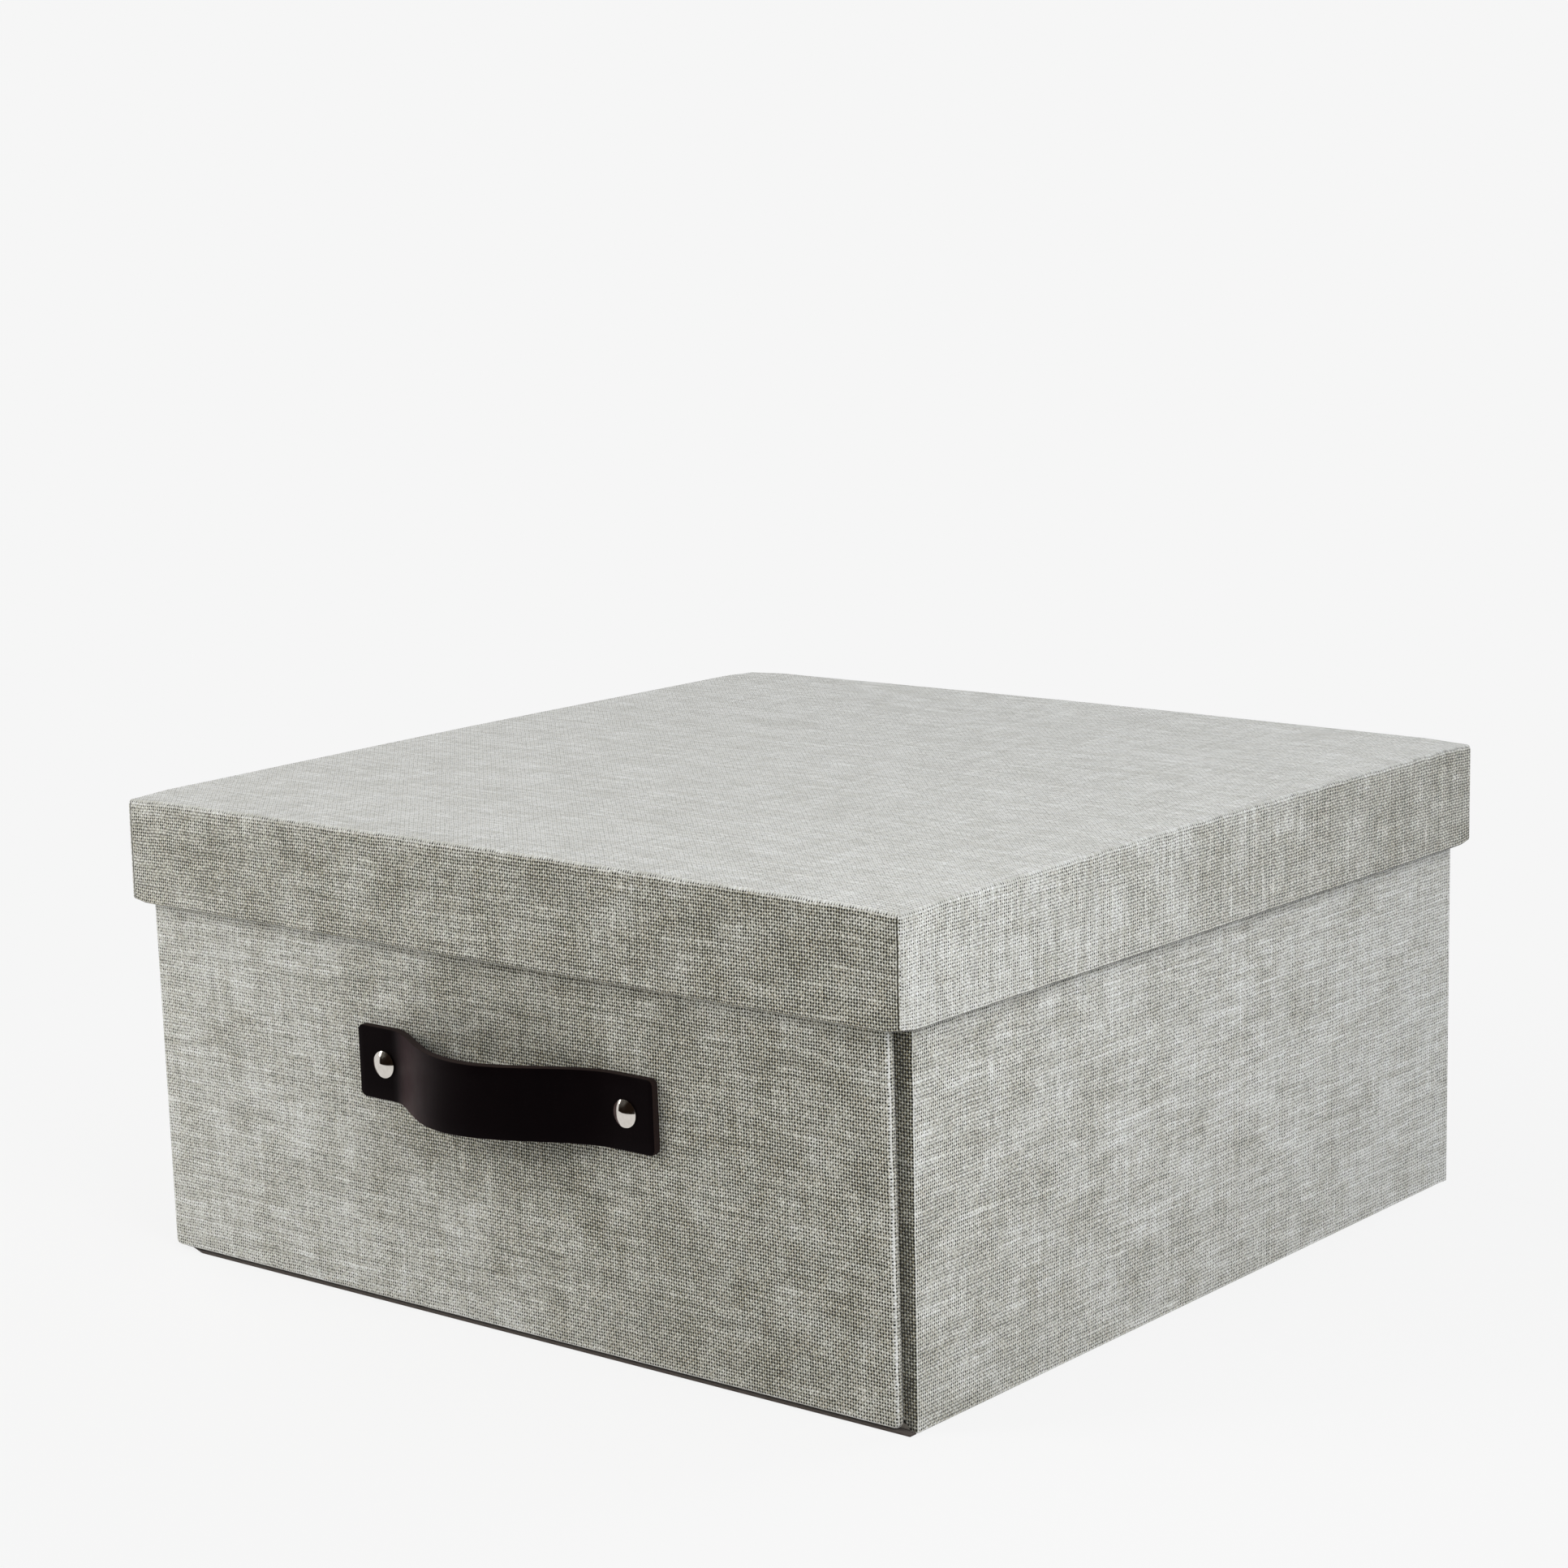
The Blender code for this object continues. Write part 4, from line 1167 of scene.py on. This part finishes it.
# %% Leather, its grain side
leather, tree, shader = new_finish(
    "dyed_cowhide_grain",
    0.5,
    Specular_IOR_Level=0.02,
    Sheen_Weight=0.34,
    Sheen_Roughness=0.3,
    Sheen_Tint=colour("e6bcc2"),
)
place = add(tree, "TexCoord", out=3)
cells = add(tree, "TexVoronoi", {"Vector": place, "Scale": 1 / (0.55 * MM)}, feature="SMOOTH_F1")
pores = add(tree, "TexNoise", {"Vector": place, "Scale": 1 / (0.35 * MM), "Detail": 3})
creases = add(tree, "TexNoise", {"Vector": place, "Scale": 1 / (9 * MM), "Detail": 4})
pebble = add(tree, "Math MULTIPLY_ADD", (cells, 0.7, pores))
hide_colour = add(tree, "Mix", {SHARE: creases, FIRST: "030102", SECOND: "080405"}, **COLOURS)
gloss = add(tree, "MapRange", (creases, 0.3, 0.7, 0.38, 0.5))
show(tree, shader, hide_colour, pebble, 0.035 * MM, 0.6, gloss)

# %% Leather, its cut edge
FIBRES = ("090606", "2e211e")
cut_edge = flecked(
    "raw_leather_edge", 0.95, 0.3 * MM, 5, FIBRES, 0.2 * MM, 0.8, Specular_IOR_Level=0.15
)

# %% [markdown]
# ## Nickel
#
# The rivets are pressed steel, nickel-plated and barrel-polished: a warm grey mirror, with very
# fine rub marks that only soften its highlights.

# %% Polished nickel
PLATE = ("d9d4cd", "c8c2bb")
GLOSS = (0.05, 0.1)
nickel = flecked(
    "barrel_polished_nickel", 0.14, 1.2 * MM, 4, PLATE, 0.01 * MM, 0.25, GLOSS, Metallic=1.0
)

# %% [markdown]
# ## Greyboard, lining paper and fastener tape
#
# Greyboard is pressed from waste paper: dull, with pale and dark specks a few tenths of a
# millimetre long. The lining is dark uncoated paper with a faint felt mark. The fastener tape is
# black nylon, whose hooks and loops are too small to see and only scatter the light.

# %% Greyboard
PULP = ("6f6a63", "b0aaa0")
greyboard = flecked(
    "pressed_greyboard", 0.95, 0.6 * MM, 4, PULP, 0.05 * MM, 0.5, Specular_IOR_Level=0.2
)

# %% Lining paper
lining, tree, shader = new_finish("uncoated_lining_paper", 0.9, Specular_IOR_Level=0.25)
place = add(tree, "TexCoord", out=3)
felt = add(tree, "TexNoise", {"Vector": place, "Scale": 1 / (0.9 * MM), "Detail": 5})
cloud = add(tree, "TexNoise", {"Vector": place, "Scale": 1 / (18 * MM), "Detail": 2})
half_felt = add(tree, "Math MULTIPLY", (felt, 0.5))
mottle = add(tree, "Math MULTIPLY_ADD", (cloud, 0.5, half_felt))
paper_colour = add(tree, "Mix", {SHARE: mottle, FIRST: "5f5953", SECOND: "8b847b"}, **COLOURS)
show(tree, shader, paper_colour, felt, 0.03 * MM, 0.5)

# %% Fastener tape
tape, tree, shader = new_finish("nylon_hook_and_loop", 0.9, Sheen_Weight=0.2)
place = add(tree, "TexCoord", out=3)
loops = add(tree, "TexVoronoi", {"Vector": place, "Scale": 1 / (0.8 * MM)})
tape_colour = add(tree, "Mix", {SHARE: loops, FIRST: "3a3937", SECOND: "121212"}, **COLOURS)
show(tree, shader, tape_colour, loops, 0.3 * MM, 0.7)

# %% Give every piece and every node its finish
own = {
    canvas: (*side_walls, back, panel),
    buckram: (base, hinge, ledge_fray),
    cut_edge: strap_hairs,
    greyboard: lid_boards,
    nickel: rivets,
}
for finish, pieces in own.items():
    for piece in pieces:
        piece.data.materials.clear()
        piece.data.materials.append(finish)
lid.data.materials[0], lid.data.materials[1] = canvas, seam_cloth_and_shade
strap.data.materials[0], strap.data.materials[1] = leather, cut_edge

endings = {"board": greyboard, "liner": lining, "stay": lining, "pad": tape}
for name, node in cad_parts.items():
    finish = next((f for ending, f in endings.items() if name.endswith(ending)), None)
    if finish:
        for slot in node.material_slots:
            slot.material = finish
    print(name, finish.name if finish else "stood for")

# %% [markdown]
# # The studio
#
# The photo is a plain product shot: a pale ground with no visible shadow, soft light from above,
# and the right side lit more than the front. A real floor catches the object's contact shadow, and
# what the camera sees of it is lifted to the pale ground. The lamps are large, so that no edge of
# a shadow shows, and near, so that the light falls off across the front as it does in the photo.

# %% Camera, as the lid's corners fix it
LENS, SENSOR = 83.98, 36
EYE = Vector((0.78066, -0.97594, 0.3836))
YAW, PITCH, ROLL = math.radians(-39.12), math.radians(10.37), math.radians(-1.22)
camera_data = bpy.data.cameras.new("camera")
camera_data.lens = LENS
camera_data.sensor_width = SENSOR
camera = new_object("camera", camera_data)
turned = Matrix.Rotation(-YAW, 4, "Z") @ Matrix.Rotation(math.pi / 2 - PITCH, 4, "X")
camera.matrix_world = Matrix.Translation(EYE) @ turned @ Matrix.Rotation(ROLL, 4, "Z")
bpy.context.scene.camera = camera

# %% World and floor
PALE = colour("f6f6f6")
ROOM_LIGHT = 0.2
FLOOR_SIZE = 40
# The floor's own shading is seen near the box, and fades into the pale ground over these metres.
NEAR, FAR = 0.2, 0.5


def bare_tree(owner):
    """The empty node tree of a material or world."""
    owner.use_nodes = True
    owner.node_tree.nodes.clear()
    return owner.node_tree


def seen_plainly(tree):
    """One for rays that see the pale ground itself: the camera's, a mirror's and a glass's."""
    path = add(tree, "LightPath", out=None).outputs
    rays = add(tree, "Math ADD", (path["Is Glossy Ray"], path["Is Transmission Ray"]))
    return add(tree, "Math ADD", (path["Is Camera Ray"], rays))


world = bpy.data.worlds.new("studio")
bpy.context.scene.world = world
tree = bare_tree(world)
room = add(tree, "Background", {"Color": "ffffff", "Strength": ROOM_LIGHT})
ground = add(tree, "Background", {"Color": PALE, "Strength": 1.0})
both = add(tree, "MixShader", (seen_plainly(tree), room, ground))
add(tree, "OutputWorld", (both,), out=None)

deselect()
bpy.ops.mesh.primitive_grid_add(
    x_subdivisions=4, y_subdivisions=4, size=FLOOR_SIZE, location=(0, 0, -0.1 * MM)
)
floor = bpy.context.object
floor.name = "floor"
ground_finish = bpy.data.materials.new("matt_studio_floor")
tree = bare_tree(ground_finish)
place = add(tree, "TexCoord", out=3)
far = add(tree, "VectorMath LENGTH", (place,), out=1)
fade = add(tree, "MapRange", (far, NEAR, FAR, 0.86, 1.0))
# Near the box the glow makes up for what the lamps leave out, and far off it is the world's own.
level = add(tree, "MapRange", (far, NEAR, FAR, 1.035, 1.0))
matt = add(tree, "BsdfDiffuse", {"Color": "ececec"})
glow = add(tree, "Emission", {"Color": PALE, "Strength": level})
lifted = add(tree, "Math MULTIPLY", (fade, seen_plainly(tree)))
both = add(tree, "MixShader", (lifted, matt, glow))
add(tree, "OutputMaterial", (both,), out=None)
floor.data.materials.append(ground_finish)

# %% [markdown]
# A polished dome in an all-white room looks flat, so a photographer hangs a dark card for it to
# mirror. This one stands left of the camera, and only reflections see it: it casts no shadow.

# %% Dark card for the rivets
CARD_TURN = math.radians(-19)
card = new_plane("dark_card", (-0.11, -0.5, 0.151), (0.54, 0.3), (math.pi / 2, 0, CARD_TURN))
card.visible_camera = False
card.visible_diffuse = False
card.visible_transmission = False
card.visible_shadow = False
flock = bpy.data.materials.new("black_flocked_card")
tree = bare_tree(flock)
flocking = add(tree, "BsdfDiffuse", {"Color": "261d17"})
add(tree, "OutputMaterial", (flocking,), out=None)
card.data.materials.append(flock)

# %% Lamps


def lamp(name, size, place, target, watts, tint="ffffff"):
    data = bpy.data.lights.new(name, "AREA")
    data.shape = "RECTANGLE"
    data.size, data.size_y = size
    data.energy = watts
    data.color = colour(tint)[:3]
    obj = new_object(name, data)
    obj.location = place
    obj.rotation_euler = (Vector(target) - Vector(place)).to_track_quat("-Z", "Y").to_euler()
    print(name, watts, "W")


BOX = (0, -0.03, 0.08)
lamp("right_softbox", (0.6, 0.6), (0.78, -0.36, 0.56), BOX, 5.4)
lamp("left_front_softbox", (0.7, 0.7), (-0.9, -1.0, 0.6), BOX, 10, "fffdf6")
lamp("left_softbox", (0.8, 0.8), (-1.2, 0, 0.8), BOX, 5.5)
lamp("back_softbox", (1.0, 1.0), (0.3, 1.2, 0.8), BOX, 7.5, "f7fcff")
bpy.context.scene.view_settings.view_transform = "Standard"
